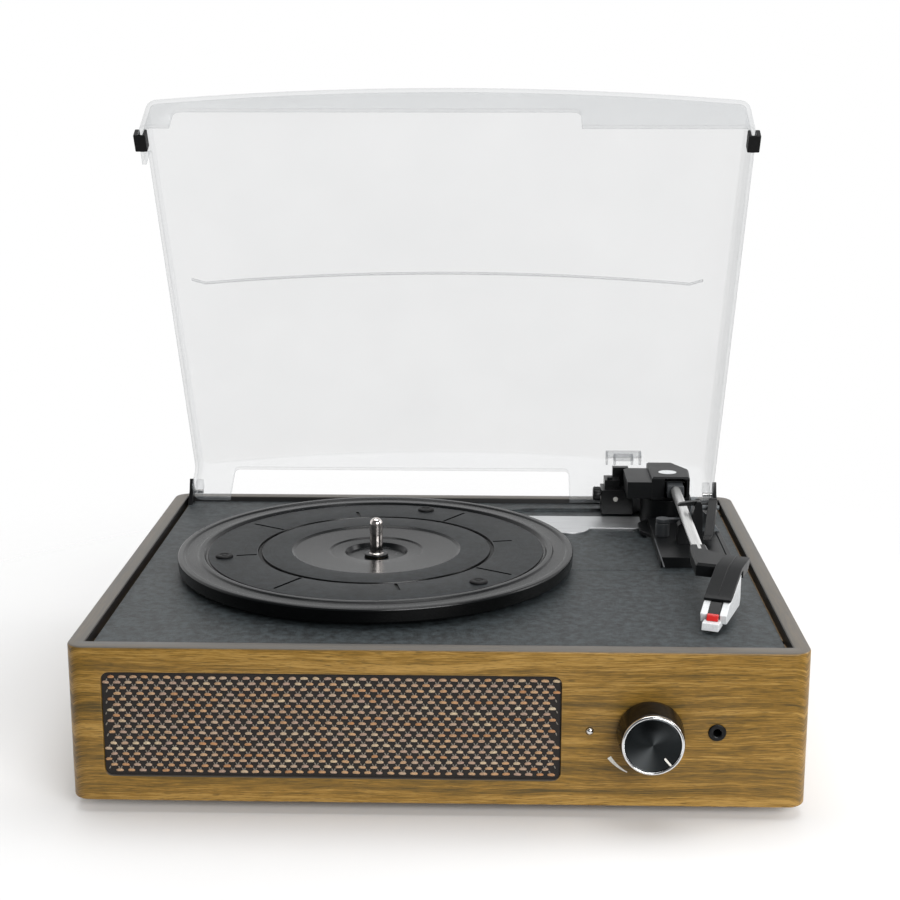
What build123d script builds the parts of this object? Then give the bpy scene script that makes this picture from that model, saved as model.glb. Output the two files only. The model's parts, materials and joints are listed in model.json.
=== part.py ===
from build123d import *
import math
import os

# Turntable record player with a wooden cabinet, a clear hinged dust cover shown open, a belt
# driven platter, a straight tonearm and built-in speakers. Millimetres, +Z up, -Y is the front.
# The origin is on the floor at the middle of the whole player's box, with the cover open.

# ---- driving dimensions -------------------------------------------------------------------
CABINET_W = 350.0
CABINET_D = 286.0
CABINET_H = 77.4
WALL = 8.5
CORNER_R = 9.0
FOOT_H = 6.0
FRONT_Y = -147.31  # front face of the cabinet, which centres the open player on the origin

BOTTOM_Z = FOOT_H
RIM_Z = BOTTOM_Z + CABINET_H
DECK_Z = RIM_Z - 2.4
DECK_T = 3.0
DECK_GAP = 2.2
BACK_Y = FRONT_Y + CABINET_D
MID_Y = FRONT_Y + CABINET_D / 2
INNER_W = CABINET_W - 2 * WALL
INNER_D = CABINET_D - 2 * WALL

GRILLE_X, GRILLE_H = -49.8, 38.8  # centre of the loudspeaker opening, height above the bottom
GRILLE_W, GRILLE_T = 216.8, 52.2
SPEAKER_SPREAD = 104.0
SPEAKER_R = 17.0

LED_X, KNOB_X, JACK_X = 72.0, 100.2, 131.6
CONTROL_Z = BOTTOM_Z + 38.05
KNOB_R = 15.8
KNOB_LENGTH = 16.6

PLATTER_X, PLATTER_Y = -38.1, FRONT_Y + 143.4
PLATTER_R = 107.9
PLATTER_Z = DECK_Z + 10.2
DRUM_R = 62.0
PULLEY_R = 5.0
PULLEY_DISTANCE = 84.0
PULLEY_ANGLE = 140.0
SPINDLE_R = 3.55
SPINDLE_FOOT_R = 4.0
RUNNING = 0.05

ARM_X = 133.3  # centreline of the arm tube
PIVOT_X, PIVOT_Y = 129.5, FRONT_Y + 239.5
TILT_Z = DECK_Z + 23.5
ARM_DROOP = 1.2
TUBE_R = 2.9
HEAD_OFFSET_ANGLE = 20.0

COVER_W = 323.6
COVER_L = 268.0
COVER_REAR_H = 33.0
COVER_FRONT_H = 27.0
COVER_CROWN = 13.5
COVER_T = 2.2
COVER_OPEN = 61.5
COVER_REAR_Y = BACK_Y - WALL - 0.5
COVER_RIM_Z = DECK_Z + 1.2
HINGE_Y = COVER_REAR_Y - 2.4
HINGE_Z = COVER_RIM_Z + 5.4
HINGE_PIN_R = 1.25

FRONT_FACE = Plane(origin=(0, FRONT_Y, BOTTOM_Z), x_dir=(1, 0, 0), z_dir=(0, -1, 0))
REAR_FACE = Plane(origin=(0, BACK_Y, BOTTOM_Z), x_dir=(-1, 0, 0), z_dir=(0, 1, 0))

os.makedirs("parts", exist_ok=True)


# ---- helpers ------------------------------------------------------------------------------
def save(piece, label):
    """Name a finished piece and write its STEP file."""
    piece.part.label = label
    export_step(piece.part, f"parts/{label}.step")


def turned(points, origin, along):
    """A solid of revolution about `along`, from closed (distance along, radius) points."""
    across = Vector(0, 0, 1) if abs(Vector(along).Z) < 0.5 else Vector(1, 0, 0)
    side = Plane(origin=origin, x_dir=along, z_dir=Vector(along).cross(across))
    with BuildPart() as piece:
        with BuildSketch(side):
            with BuildLine():
                Polyline(*points, close=True)
            make_face()
        revolve(axis=Axis(origin, along))
    return piece.part


def turned_piece(points, origin, along, label):
    """A turned piece of one solid, saved under its own name."""
    with BuildPart() as piece:
        add(turned(points, origin, along))
    save(piece, label)


def ring(inner, outer, low, high):
    """The closed profile of a plain ring."""
    return [(low, inner), (low, outer), (high, outer), (high, inner)]


def rod(radius, low, high, chamfer=0.3):
    """The closed profile of a plain rod with broken edges."""
    return [(low, 0), (low, radius - chamfer), (low + chamfer, radius),
            (high - chamfer, radius), (high, radius - chamfer), (high, 0)]


def above_deck(height):
    """A level plane this far above the deck's surface."""
    return Plane.XY.offset(DECK_Z + height)


def at_depth(depth):
    """An upright plane facing forward, this far behind the cabinet's front face."""
    return FRONT_FACE.offset(-depth)


def slab(plane, width, depth, height, centre, corner=0.0, label=None):
    """A block standing on a plane, with rounded upright corners, saved if it has a name."""
    with BuildPart() as piece:
        with BuildSketch(plane):
            with Locations(centre):
                if corner:
                    RectangleRounded(width, depth, corner)
                else:
                    Rectangle(width, depth)
        extrude(amount=height)
    if label:
        save(piece, label)
    return piece.part


# ---- cabinet ------------------------------------------------------------------------------
REAR_PANEL_X, REAR_PANEL_H = 92.0, 30.0
REAR_PANEL_W, REAR_PANEL_T = 84.0, 30.0
BLOCK = 15.0
BLOCK_X = INNER_W / 2 - BLOCK / 2
BLOCK_BOTTOM = 5.2

with BuildPart() as cabinet_shell:
    with BuildSketch(Plane.XY.offset(BOTTOM_Z)):
        with Locations((0, MID_Y)):
            RectangleRounded(CABINET_W, CABINET_D, CORNER_R)
            Rectangle(INNER_W, INNER_D, mode=Mode.SUBTRACT)
    extrude(amount=CABINET_H)
    top_face = cabinet_shell.faces().sort_by(Axis.Z)[-1]
    fillet(top_face.outer_wire().edges(), 1.2)
    bottom_face = cabinet_shell.faces().sort_by(Axis.Z)[0]
    fillet(bottom_face.outer_wire().edges(), 1.2)
    with BuildSketch(FRONT_FACE.offset(1)):
        with Locations((GRILLE_X, GRILLE_H)):
            RectangleRounded(GRILLE_W, GRILLE_T, 4.0)
        with Locations((LED_X, CONTROL_Z - BOTTOM_Z)):
            Circle(1.9)
        with Locations((KNOB_X, CONTROL_Z - BOTTOM_Z)):
            Circle(5.0)
        with Locations((JACK_X, CONTROL_Z - BOTTOM_Z)):
            Circle(3.3)
    extrude(amount=-(WALL + 2), mode=Mode.SUBTRACT)
    with BuildSketch(REAR_FACE.offset(1)):
        with Locations((REAR_PANEL_X, REAR_PANEL_H)):
            Rectangle(REAR_PANEL_W - 8, REAR_PANEL_T - 8)
    extrude(amount=-(WALL + 2), mode=Mode.SUBTRACT)
    # the four boards are separate pieces, butted at the inner corners
    with BuildSketch(Plane.XY.offset(BOTTOM_Z - 1)):
        with Locations((-INNER_W / 2, MID_Y), (INNER_W / 2, MID_Y)):
            Rectangle(0.02, CABINET_D + 2)
    extrude(amount=CABINET_H + 2, mode=Mode.SUBTRACT)
save(cabinet_shell, "cabinet_shell")

SCREW_R = 1.5
BLOCK_ROWS = (FRONT_Y + WALL + 4.5 + BLOCK / 2, BACK_Y - WALL - BLOCK / 2)
SCREW_SPOTS = [(x, y) for x in (-BLOCK_X, BLOCK_X) for y in BLOCK_ROWS]
FOOT_SPOTS = [(x, y) for x in (-138, 138) for y in (FRONT_Y + 34, BACK_Y - 34)]
FOOT_R = 10.0
MAIN_BOARD_X, MAIN_BOARD_Y = 60.0, MID_Y + 30
MAIN_BOARD_W, MAIN_BOARD_D = 96.0, 66.0
STANDOFF = 6.0

with BuildPart() as bottom_panel:
    with BuildSketch(Plane.XY.offset(BOTTOM_Z + 1.2)):
        with Locations((0, MID_Y)):
            Rectangle(INNER_W - 0.6, INNER_D - 0.6)
        with Locations(*SCREW_SPOTS):
            Circle(SCREW_R + 0.3, mode=Mode.SUBTRACT)
        with Locations(*FOOT_SPOTS):
            Circle(SCREW_R + 0.3, mode=Mode.SUBTRACT)
    extrude(amount=BLOCK_BOTTOM - 1.2)
save(bottom_panel, "bottom_panel")

with BuildPart() as frame_blocks:
    with BuildSketch(Plane.XY.offset(BOTTOM_Z + BLOCK_BOTTOM)):
        with Locations(*SCREW_SPOTS):
            Rectangle(BLOCK - 0.2, BLOCK - 0.2)
            Circle(SCREW_R + 0.02, mode=Mode.SUBTRACT)
    extrude(amount=DECK_Z - DECK_T - BOTTOM_Z - BLOCK_BOTTOM)
    with BuildSketch(Plane.XY.offset(DECK_Z - DECK_T - 9)):
        with Locations((-INNER_W / 2 + 4.2, MID_Y + 2), (INNER_W / 2 - 4.2, MID_Y + 2)):
            Rectangle(8, INNER_D - 2 * BLOCK - 14)
    extrude(amount=9)
    with BuildSketch(Plane.XY.offset(BOTTOM_Z + BLOCK_BOTTOM)):
        with Locations((MAIN_BOARD_X, MAIN_BOARD_Y)):
            with GridLocations(MAIN_BOARD_W - 8, MAIN_BOARD_D - 8, 2, 2):
                Circle(2.8)
    extrude(amount=STANDOFF)
save(frame_blocks, "frame_blocks")

with BuildPart() as feet:
    for x, y in FOOT_SPOTS:
        add(turned([(0, 3.4), (0, FOOT_R - 1), (0.8, FOOT_R - 0.2), (7.2, FOOT_R), (7.2, 0),
                    (3.2, 0), (3.2, 3.4)], (x, y, 0), (0, 0, 1)))
save(feet, "feet")

# ---- loudspeakers behind the grille -------------------------------------------------------
SPEAKER_SPOTS = [(GRILLE_X - SPEAKER_SPREAD / 2, GRILLE_H), (GRILLE_X + SPEAKER_SPREAD / 2, GRILLE_H)]
BAFFLE_BACK = WALL + 4.0

with BuildPart() as speaker_baffle:
    with BuildSketch(at_depth(1.7)):
        with Locations((GRILLE_X, GRILLE_H)):
            RectangleRounded(GRILLE_W - 1.2, GRILLE_T - 1.2, 3.4)
    extrude(amount=-(WALL - 1.6))
    with BuildSketch(at_depth(WALL + 0.1)):
        with Locations((GRILLE_X, GRILLE_H)):
            Rectangle(GRILLE_W + 10, GRILLE_T + 10)
    extrude(amount=-(BAFFLE_BACK - WALL - 0.1))
    with BuildSketch(at_depth(0)):
        with Locations(*SPEAKER_SPOTS):
            Circle(SPEAKER_R)
    extrude(amount=-20, mode=Mode.SUBTRACT)
save(speaker_baffle, "speaker_baffle")

slab(at_depth(0.9), GRILLE_W - 0.5, GRILLE_T - 0.5, -0.7, (GRILLE_X, GRILLE_H), 3.8, "grille_cloth")

FRAME_PROFILE = [(0, SPEAKER_R + 0.5), (0, 21), (1.6, 21), (1.6, 18.6), (12, 12.2), (12, 14),
                 (13, 15), (20.2, 15), (21, 14), (21, 0), (10.8, 0), (10.8, 11.4),
                 (1.2, SPEAKER_R + 0.5)]
CONE_PROFILE = [(0.2, SPEAKER_R - 0.2), (1.0, SPEAKER_R - 0.2), (9.0, 6.0), (9.6, 0), (7.4, 0),
                (6.6, 4.0), (8.0, 5.6), (0.2, SPEAKER_R - 1.4)]
for label, profile in (("speaker_drivers", FRAME_PROFILE), ("speaker_cones", CONE_PROFILE)):
    with BuildPart() as speaker_piece:
        for x, height in SPEAKER_SPOTS:
            origin = (x, FRONT_Y + BAFFLE_BACK + 0.1, BOTTOM_Z + height)
            add(turned(profile, origin, (0, 1, 0)))
    save(speaker_piece, label)

# ---- front controls -----------------------------------------------------------------------
LED_POINT = (LED_X, FRONT_Y, CONTROL_Z)
KNOB_POINT = (KNOB_X, FRONT_Y, CONTROL_Z)
JACK_POINT = (JACK_X, FRONT_Y, CONTROL_Z)
BOARD_DEPTH = 24.0
SHAFT_R = 3.0
JACK_R = 1.8
FORWARD = (0, -1, 0)

turned_piece([(-16, 0), (-16, 1.75), (0.2, 1.75), (0.9, 1.3), (1.2, 0.6), (1.3, 0)],
             LED_POINT, FORWARD, "led_lens")

with BuildPart() as volume_pot:
    add(turned(ring(SHAFT_R + RUNNING, 4.6, -14.0, -0.8), KNOB_POINT, FORWARD))
    with BuildSketch(at_depth(14)):
        with Locations((KNOB_X, CONTROL_Z - BOTTOM_Z)):
            RectangleRounded(17, 17, 1.5)
            Circle(SHAFT_R + RUNNING, mode=Mode.SUBTRACT)
    extrude(amount=-8.5)
save(volume_pot, "volume_pot")

turned_piece(rod(SHAFT_R, -22, 9), KNOB_POINT, FORWARD, "knob_shaft")

KNOB_FACE = KNOB_LENGTH + 0.6
with BuildPart() as knob_body:
    add(turned([(0.7, SHAFT_R), (0.7, KNOB_R - 0.5), (1.3, KNOB_R), (4.0, KNOB_R),
                (KNOB_FACE - 1.6, KNOB_R - 1.0), (KNOB_FACE - 1.6, 0), (9, 0), (9, SHAFT_R)],
               KNOB_POINT, FORWARD))
save(knob_body, "knob_body")
turned_piece([(KNOB_FACE - 1.6, 13.0), (KNOB_FACE - 1.6, 14.6), (KNOB_FACE - 0.5, 14.5),
              (KNOB_FACE, 13.9), (KNOB_FACE, 13.5), (KNOB_FACE - 0.5, 13.0)],
             KNOB_POINT, FORWARD, "knob_ring")
turned_piece([(KNOB_FACE - 1.6, 0), (KNOB_FACE - 1.6, 12.9), (KNOB_FACE - 0.7, 12.9),
              (KNOB_FACE - 0.5, 12.6), (KNOB_FACE - 0.9, 0)],
             KNOB_POINT, FORWARD, "knob_cap")

turned_piece([(-22, JACK_R), (-22, 3.2), (-0.1, 3.2), (0.02, 3.2), (0.02, 4.2), (0.5, 4.2),
              (0.9, 3.8), (0.9, 2.3), (0.6, JACK_R)], JACK_POINT, FORWARD, "headphone_jack")

# ---- electronics inside -------------------------------------------------------------------
FLOOR_Z = BOTTOM_Z + BLOCK_BOTTOM

with BuildPart() as circuit_boards:
    with BuildSketch(Plane.XY.offset(FLOOR_Z + STANDOFF)):
        with Locations((MAIN_BOARD_X, MAIN_BOARD_Y)):
            RectangleRounded(MAIN_BOARD_W, MAIN_BOARD_D, 2.0)
    extrude(amount=1.6)
    with BuildSketch(at_depth(BOARD_DEPTH)):
        with Locations((JACK_X - 29, CONTROL_Z - BOTTOM_Z)):
            Rectangle(72, 26)
        with Locations((KNOB_X, CONTROL_Z - BOTTOM_Z)):
            Circle(SHAFT_R + 0.4, mode=Mode.SUBTRACT)
    extrude(amount=-1.6)
save(circuit_boards, "circuit_boards")

COMPONENT_Z = FLOOR_Z + 7.6
with BuildPart() as board_components:
    for dx, dy, radius, height in ((-30, -18, 5, 13), (-18, -18, 5, 13), (-6, -20, 4, 9)):
        add(turned(rod(radius, 0, height), (MAIN_BOARD_X + dx, MAIN_BOARD_Y + dy, COMPONENT_Z),
                   (0, 0, 1)))
    with BuildSketch(Plane.XY.offset(COMPONENT_Z)):
        with Locations((MAIN_BOARD_X - 12, MAIN_BOARD_Y + 10)):
            Rectangle(14, 14)
        with Locations((MAIN_BOARD_X + 14, MAIN_BOARD_Y + 8)):
            Rectangle(12, 20)
        with Locations((MAIN_BOARD_X + 36, MAIN_BOARD_Y - 14)):
            Rectangle(8, 22)
    extrude(amount=4)
save(board_components, "board_components")

with BuildPart() as heat_sink:
    with BuildSketch(Plane.XY.offset(COMPONENT_Z)):
        with Locations((MAIN_BOARD_X + 22, MAIN_BOARD_Y - 20)):
            Rectangle(2, 22)
            with GridLocations(4, 5, 2, 5):
                Rectangle(5, 1.2)
    extrude(amount=20)
save(heat_sink, "heat_sink")

# sockets at the back: power inlet and line output
INLET_R = 2.75
INLET_SPOT = (REAR_PANEL_X - 26, REAR_PANEL_H)
RCA_SPOTS = [(REAR_PANEL_X + 6, REAR_PANEL_H), (REAR_PANEL_X + 26, REAR_PANEL_H)]
BACKWARD = (0, 1, 0)


def rear_point(spot):
    """A point on the rear face, from its place seen from behind."""
    return (-spot[0], BACK_Y, BOTTOM_Z + spot[1])


with BuildPart() as rear_panel:
    with BuildSketch(REAR_FACE):
        with Locations((REAR_PANEL_X, REAR_PANEL_H)):
            RectangleRounded(REAR_PANEL_W, REAR_PANEL_T, 3)
        with Locations(INLET_SPOT, *RCA_SPOTS):
            Circle(5.3, mode=Mode.SUBTRACT)
    extrude(amount=1.8)
save(rear_panel, "rear_panel")

with BuildPart() as case_screws:
    for x, y in SCREW_SPOTS:
        add(turned([(0, 0), (0, 2.6), (0.9, 3.0), (1.1, 3.0), (1.1, SCREW_R), (16, SCREW_R),
                    (17.5, 0)], (x, y, BOTTOM_Z + 0.1), (0, 0, 1)))
    for x, y in FOOT_SPOTS:
        add(turned([(0, 0), (0, 2.2), (1.2, 3.0), (1.9, 3.0), (1.9, 0)], (x, y, 1.2), (0, 0, 1)))
    for side in (-1, 1):
        spot = (REAR_PANEL_X + side * (REAR_PANEL_W / 2 - 3.5), REAR_PANEL_H + 11)
        add(turned([(1.8, 0), (1.8, 2.4), (2.2, 2.4), (3.0, 1.6), (3.0, 0)],
                   rear_point(spot), BACKWARD))
save(case_screws, "case_screws")

with BuildPart() as dc_inlet:
    add(turned([(-12, 0), (-12, 5.2), (2.2, 5.2), (2.6, 4.8), (2.6, INLET_R), (-4, INLET_R),
                (-4, INLET_R - 0.2), (-9, INLET_R - 0.2), (-9, 0.65), (-5, 0.65), (-4.6, 0)],
               rear_point(INLET_SPOT), BACKWARD))
save(dc_inlet, "dc_inlet")

RCA_R = 4.15
with BuildPart() as line_outputs:
    for spot in RCA_SPOTS:
        add(turned([(-8, 1.7), (-8, 5.2), (1.9, 5.2), (2.4, 4.8), (2.4, RCA_R), (10.4, RCA_R),
                    (10.8, RCA_R - 0.4), (10.8, 1.7)], rear_point(spot), BACKWARD))
save(line_outputs, "line_outputs")

# ---- deck ---------------------------------------------------------------------------------
BEARING_R = 10.0
PULLEY_X = PLATTER_X + PULLEY_DISTANCE * math.cos(math.radians(PULLEY_ANGLE))
PULLEY_Y = PLATTER_Y + PULLEY_DISTANCE * math.sin(math.radians(PULLEY_ANGLE))
POCKET_DEPTH = 1.8
POCKET = [(22, 253.5), (48, 264), (112, 264.5), (116, 261), (116, 199.5), (40, 198.5),
          (28, 215)]

with BuildPart() as deck_plate:
    with BuildSketch(above_deck(-DECK_T)):
        with Locations((0, MID_Y)):
            RectangleRounded(INNER_W - 2 * DECK_GAP, INNER_D - 2 * DECK_GAP, 2.0)
        with Locations((PLATTER_X, PLATTER_Y)):
            Circle(BEARING_R + 0.1, mode=Mode.SUBTRACT)
        with Locations((PULLEY_X, PULLEY_Y)):
            Circle(4.5, mode=Mode.SUBTRACT)
    extrude(amount=DECK_T)
    with BuildSketch(above_deck(-POCKET_DEPTH)):
        with BuildLine():
            Polyline(*[(x, FRONT_Y + depth) for x, depth in POCKET], close=True)
        make_face()
    extrude(amount=POCKET_DEPTH, mode=Mode.SUBTRACT)
    with BuildSketch(above_deck(-0.7)):
        with Locations((90, FRONT_Y + 135.6)):
            Rectangle(56, 0.9)
    extrude(amount=0.7, mode=Mode.SUBTRACT)
save(deck_plate, "deck_plate")

STRIP_DEPTH = 236.0
with BuildPart() as trim_strip:
    with BuildSketch(above_deck(-POCKET_DEPTH)):
        with Locations((72, FRONT_Y + STRIP_DEPTH)):
            Rectangle(86, 26)
        with Locations((71, FRONT_Y + STRIP_DEPTH - 12)):
            Circle(12.5)
    extrude(amount=1.0)
save(trim_strip, "trim_strip")

# ---- platter and its drive ----------------------------------------------------------------
PLATTER_POINT = (PLATTER_X, PLATTER_Y, PLATTER_Z)
UPWARD = (0, 0, 1)
BUSH_R = 6.0
PAD_RING_R, PAD_ANGLE, PAD_R = 83.0, 73.2, 4.7
SLOT_ANGLE = 12.6

PLATTER_PROFILE = [
    (-5.2, BUSH_R), (-5.2, 16.2), (-2.7, 16.9), (-2.6, 25.0), (-1.9, 25.6), (-1.9, 45.2),
    (-0.9, 45.9), (-0.9, 62.6), (-1.7, 62.8), (-1.7, 64.4), (-0.9, 64.6), (-0.9, 91.6),
    (-1.3, 92.0), (-1.2, 92.5), (-0.1, 93.8), (0, 94.6), (0, 96.4), (-0.8, 97.2),
    (-0.8, 103.5), (-0.1, 104.1), (0, 104.8), (0, 107.0), (-0.3, 107.6), (-1.0, PLATTER_R),
    (-6.9, 107.5), (-7.7, 107.0), (-7.7, 105.4), (-3.6, 105.0), (-3.6, DRUM_R),
    (-8.7, DRUM_R), (-8.7, 59.6), (-3.8, 59.6), (-4.3, 44.0), (-4.9, 20.0), (-7.2, 18.5),
    (-7.2, 10.0), (-8.9, 10.0), (-8.9, BUSH_R),
]
with BuildPart() as platter:
    add(turned(PLATTER_PROFILE, PLATTER_POINT, UPWARD))
    for k in range(8):
        length = 22.0 if k % 2 else 11.0
        with BuildSketch(Plane.XY.offset(PLATTER_Z - 1.6)):
            with Locations((PLATTER_X, PLATTER_Y)):
                with Locations(Rot(0, 0, SLOT_ANGLE + 45 * k) * Pos(65.4 + length / 2, 0)):
                    RectangleRounded(length, 1.5, 0.6)
        extrude(amount=2, mode=Mode.SUBTRACT)
save(platter, "platter")

with BuildPart() as platter_pads:
    for k in range(3):
        angle = math.radians(PAD_ANGLE + 120 * k)
        spot = (PLATTER_X + PAD_RING_R * math.cos(angle), PLATTER_Y + PAD_RING_R * math.sin(angle),
                PLATTER_Z - 0.9)
        add(turned([(0, 0), (0, PAD_R), (0.9, PAD_R), (1.3, PAD_R - 0.5), (1.3, 1.0), (0.9, 0.8),
                    (0.9, 0)], spot, UPWARD))
save(platter_pads, "platter_pads")

turned_piece(ring(SPINDLE_FOOT_R + RUNNING, BUSH_R, -8.9, -5.2), PLATTER_POINT, UPWARD,
             "platter_bush")
turned_piece([(-24, 0), (-24, SPINDLE_FOOT_R), (-3.6, SPINDLE_FOOT_R), (-3.2, SPINDLE_R),
              (13.2, SPINDLE_R), (14.6, 3.2), (15.6, 2.4), (16.2, 1.3), (16.4, 0)],
             PLATTER_POINT, UPWARD, "spindle")
turned_piece(ring(SPINDLE_FOOT_R, 6.5, -4.9, -3.7), PLATTER_POINT, UPWARD, "spindle_clip")
turned_piece([(-25, 0), (-25, 7), (-13.5, BEARING_R), (-10.2, BEARING_R), (-10.2, 12.5),
              (-9.3, 12.5), (-9.3, SPINDLE_FOOT_R), (-24, SPINDLE_FOOT_R), (-24, 0)],
             PLATTER_POINT, UPWARD, "spindle_bearing")

PULLEY_POINT = (PULLEY_X, PULLEY_Y, DECK_Z)
MOTOR_TOP = -DECK_T - 0.4
turned_piece([(MOTOR_TOP, 1.0), (MOTOR_TOP, 3.5), (MOTOR_TOP - 3.6, 3.5), (MOTOR_TOP - 3.6, 15.6),
              (MOTOR_TOP - 4.2, 16), (MOTOR_TOP - 24, 16), (MOTOR_TOP - 24.6, 15.4),
              (MOTOR_TOP - 24.6, 0), (MOTOR_TOP - 8, 0), (MOTOR_TOP - 8, 1.0)],
             PULLEY_POINT, UPWARD, "motor")
turned_piece([(MOTOR_TOP - 7.8, 0), (MOTOR_TOP - 7.8, 0.95), (0.7, 0.95), (0.7, 6.4), (1.2, 6.4),
              (1.4, PULLEY_R), (5.7, PULLEY_R), (5.9, 6.2), (6.3, 6.2), (6.3, 0)],
             PULLEY_POINT, UPWARD, "motor_pulley")

with BuildPart() as motor_bracket:
    with BuildSketch(above_deck(-DECK_T - 3.9)):
        with Locations((PULLEY_X, PULLEY_Y)):
            SlotOverall(52, 20)
            Circle(16.6)
            Circle(3.8, mode=Mode.SUBTRACT)
    extrude(amount=2.0)
    with BuildSketch(above_deck(-DECK_T - 1.9)):
        with Locations((PULLEY_X - 21, PULLEY_Y), (PULLEY_X + 21, PULLEY_Y)):
            Circle(3.5)
    extrude(amount=1.9)
save(motor_bracket, "motor_bracket")

BELT_T = 0.6


def belt_loop(offset):
    """The loop round the platter's drum and the pulley, this far outside both."""
    with BuildSketch(above_deck(2.0)) as loop:
        with Locations((PLATTER_X, PLATTER_Y)):
            Circle(DRUM_R + offset)
        with Locations((PULLEY_X, PULLEY_Y)):
            Circle(PULLEY_R + offset)
        make_hull()
    return loop.sketch


with BuildPart() as drive_belt:
    extrude(belt_loop(0.3 + BELT_T), amount=3.2)
    extrude(belt_loop(0.3), amount=3.2, mode=Mode.SUBTRACT)
save(drive_belt, "drive_belt")

# ---- tonearm base -------------------------------------------------------------------------
BASE_T = 2.3
PLATFORM_TOP = 6.0
DRUM_TOP = 15.5
TURRET_SHAFT_R = 3.0
TURRET_FLOOR = 15.9


def plan(points):
    """Outline points given as (across, distance behind the front face)."""
    return [(x, FRONT_Y + depth) for x, depth in points]


with BuildPart() as arm_base:
    with BuildSketch(above_deck(0)):
        with BuildLine():
            Polyline(*plan([(117.6, 141), (149, 141), (152, 121), (156.6, 121), (158.6, 123),
                            (158.6, 262), (118, 262), (118, 232), (112, 224), (112, 208),
                            (117.6, 200)]), close=True)
        make_face()
    extrude(amount=BASE_T)
    with BuildSketch(above_deck(0)):
        with BuildLine():
            Polyline(*plan([(117.6, 141), (143, 141), (143, 202), (140.4, 202), (140.4, 222),
                            (117.6, 222)]), close=True)
        make_face()
    extrude(amount=PLATFORM_TOP)
    with BuildSketch(above_deck(BASE_T - 0.6)):
        with Locations((155.4, FRONT_Y + 178)):
            Rectangle(0.9, 104)
    extrude(amount=1, mode=Mode.SUBTRACT)
    with BuildSketch(above_deck(0)):
        with Locations((PIVOT_X, PIVOT_Y)):
            Circle(15.0)
    extrude(amount=DRUM_TOP)
    with BuildSketch(above_deck(BASE_T + 2)):
        with Locations((PIVOT_X, PIVOT_Y)):
            Circle(TURRET_SHAFT_R + RUNNING)
    extrude(amount=DRUM_TOP, mode=Mode.SUBTRACT)
save(arm_base, "arm_base")

with BuildPart() as switch_block:
    with BuildSketch(above_deck(0)):
        with BuildLine():
            Polyline(*plan([(92, 251), (111, 251), (114, 257), (117.7, 263), (117.7, 268),
                            (92, 268)]), close=True)
        make_face()
    extrude(amount=15)
    with BuildSketch(above_deck(15)):
        with Locations((98.5, FRONT_Y + 261)):
            Rectangle(9, 13)
    extrude(amount=5.5)
    with BuildSketch(above_deck(15)):
        with Locations((104, FRONT_Y + 265.4)):
            Rectangle(9.6, 4.8)
    extrude(amount=11.5)
    with BuildSketch(Plane.YZ.offset(91)):
        with Locations((FRONT_Y + 258.5, DECK_Z + 12)):
            SlotOverall(13.0, 3.4, rotation=0)
    extrude(amount=5, mode=Mode.SUBTRACT)
save(switch_block, "switch_block")

with BuildPart() as speed_knob:
    with BuildSketch(Plane.YZ.offset(86.8)):
        with Locations((FRONT_Y + 255, DECK_Z + 12)):
            Circle(4.4)
    extrude(amount=4.6)
    fillet(speed_knob.edges().sort_by(Axis.X)[0], 0.9)
    with BuildSketch(Plane.YZ.offset(91)):
        with Locations((FRONT_Y + 255, DECK_Z + 12)):
            Circle(1.4)
    extrude(amount=4.4)
save(speed_knob, "speed_knob")

slab(above_deck(15 + 5.5), 3.4, 5.0, 1.6, (97.2, FRONT_Y + 258), 0.6, "autostop_switch")

# ---- turret, which swings about the upright pivot -----------------------------------------
TURRET = [(119.8, 225), (142.2, 225), (143.6, 246), (135, 263.4), (119.8, 263.4)]
TURRET_INSIDE = [(121.8, 223), (140.3, 223), (141.6, 245.4), (134, 261.4), (121.8, 261.4)]
CAP_TOP = 30.0
CAP_INSIDE = 28.2
WING = [(105.2, 222.4), (119.8, 222.4), (119.8, 258), (107.6, 258), (105.2, 255)]

with BuildPart() as turret_base:
    with BuildSketch(above_deck(TURRET_FLOOR)):
        with BuildLine():
            Polyline(*plan(TURRET), close=True)
        make_face()
    extrude(amount=1.6)
    add(turned(rod(TURRET_SHAFT_R, BASE_T + 2.4, TURRET_FLOOR + 0.4),
               (PIVOT_X, PIVOT_Y, DECK_Z), UPWARD))
save(turret_base, "turret_base")

with BuildPart() as turret_housing:
    with BuildSketch(above_deck(TURRET_FLOOR + 1.6)):
        with BuildLine():
            Polyline(*plan(TURRET), close=True)
        make_face()
    extrude(amount=CAP_TOP - TURRET_FLOOR - 1.6)
    chamfer(turret_housing.faces().sort_by(Axis.Z)[-1].edges(), 1.0)
    with BuildSketch(above_deck(TURRET_FLOOR + 1.6)):
        with BuildLine():
            Polyline(*plan(TURRET_INSIDE), close=True)
        make_face()
    extrude(amount=CAP_INSIDE - TURRET_FLOOR - 1.6, mode=Mode.SUBTRACT)
    with BuildSketch(at_depth(224)):
        with BuildLine():
            Polyline((120.5, TURRET_FLOOR + DECK_Z - BOTTOM_Z), (127.4, 92.4), (127.4, 104),
                     (139.0, 104), (139.0, TURRET_FLOOR + DECK_Z - BOTTOM_Z), close=True)
        make_face()
    extrude(amount=-3.5, mode=Mode.SUBTRACT)
    with BuildSketch(above_deck(TURRET_FLOOR + 1.6)):
        with BuildLine():
            Polyline(*plan([(119.8, 225), (127.4, 225), (127.4, 227), (119.8, 227)]), close=True)
        make_face()
    extrude(amount=CAP_INSIDE - TURRET_FLOOR - 1.6)
    with BuildSketch(above_deck(TURRET_FLOOR + 1.6)):
        with BuildLine():
            Polyline(*plan(WING), close=True)
        make_face()
    extrude(amount=10.0)
    with BuildSketch(Plane.YZ.offset(PIVOT_X - 20)):
        with Locations((PIVOT_Y, TILT_Z)):
            Circle(1.5)
    extrude(amount=40, mode=Mode.SUBTRACT)
save(turret_housing, "turret_housing")

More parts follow.
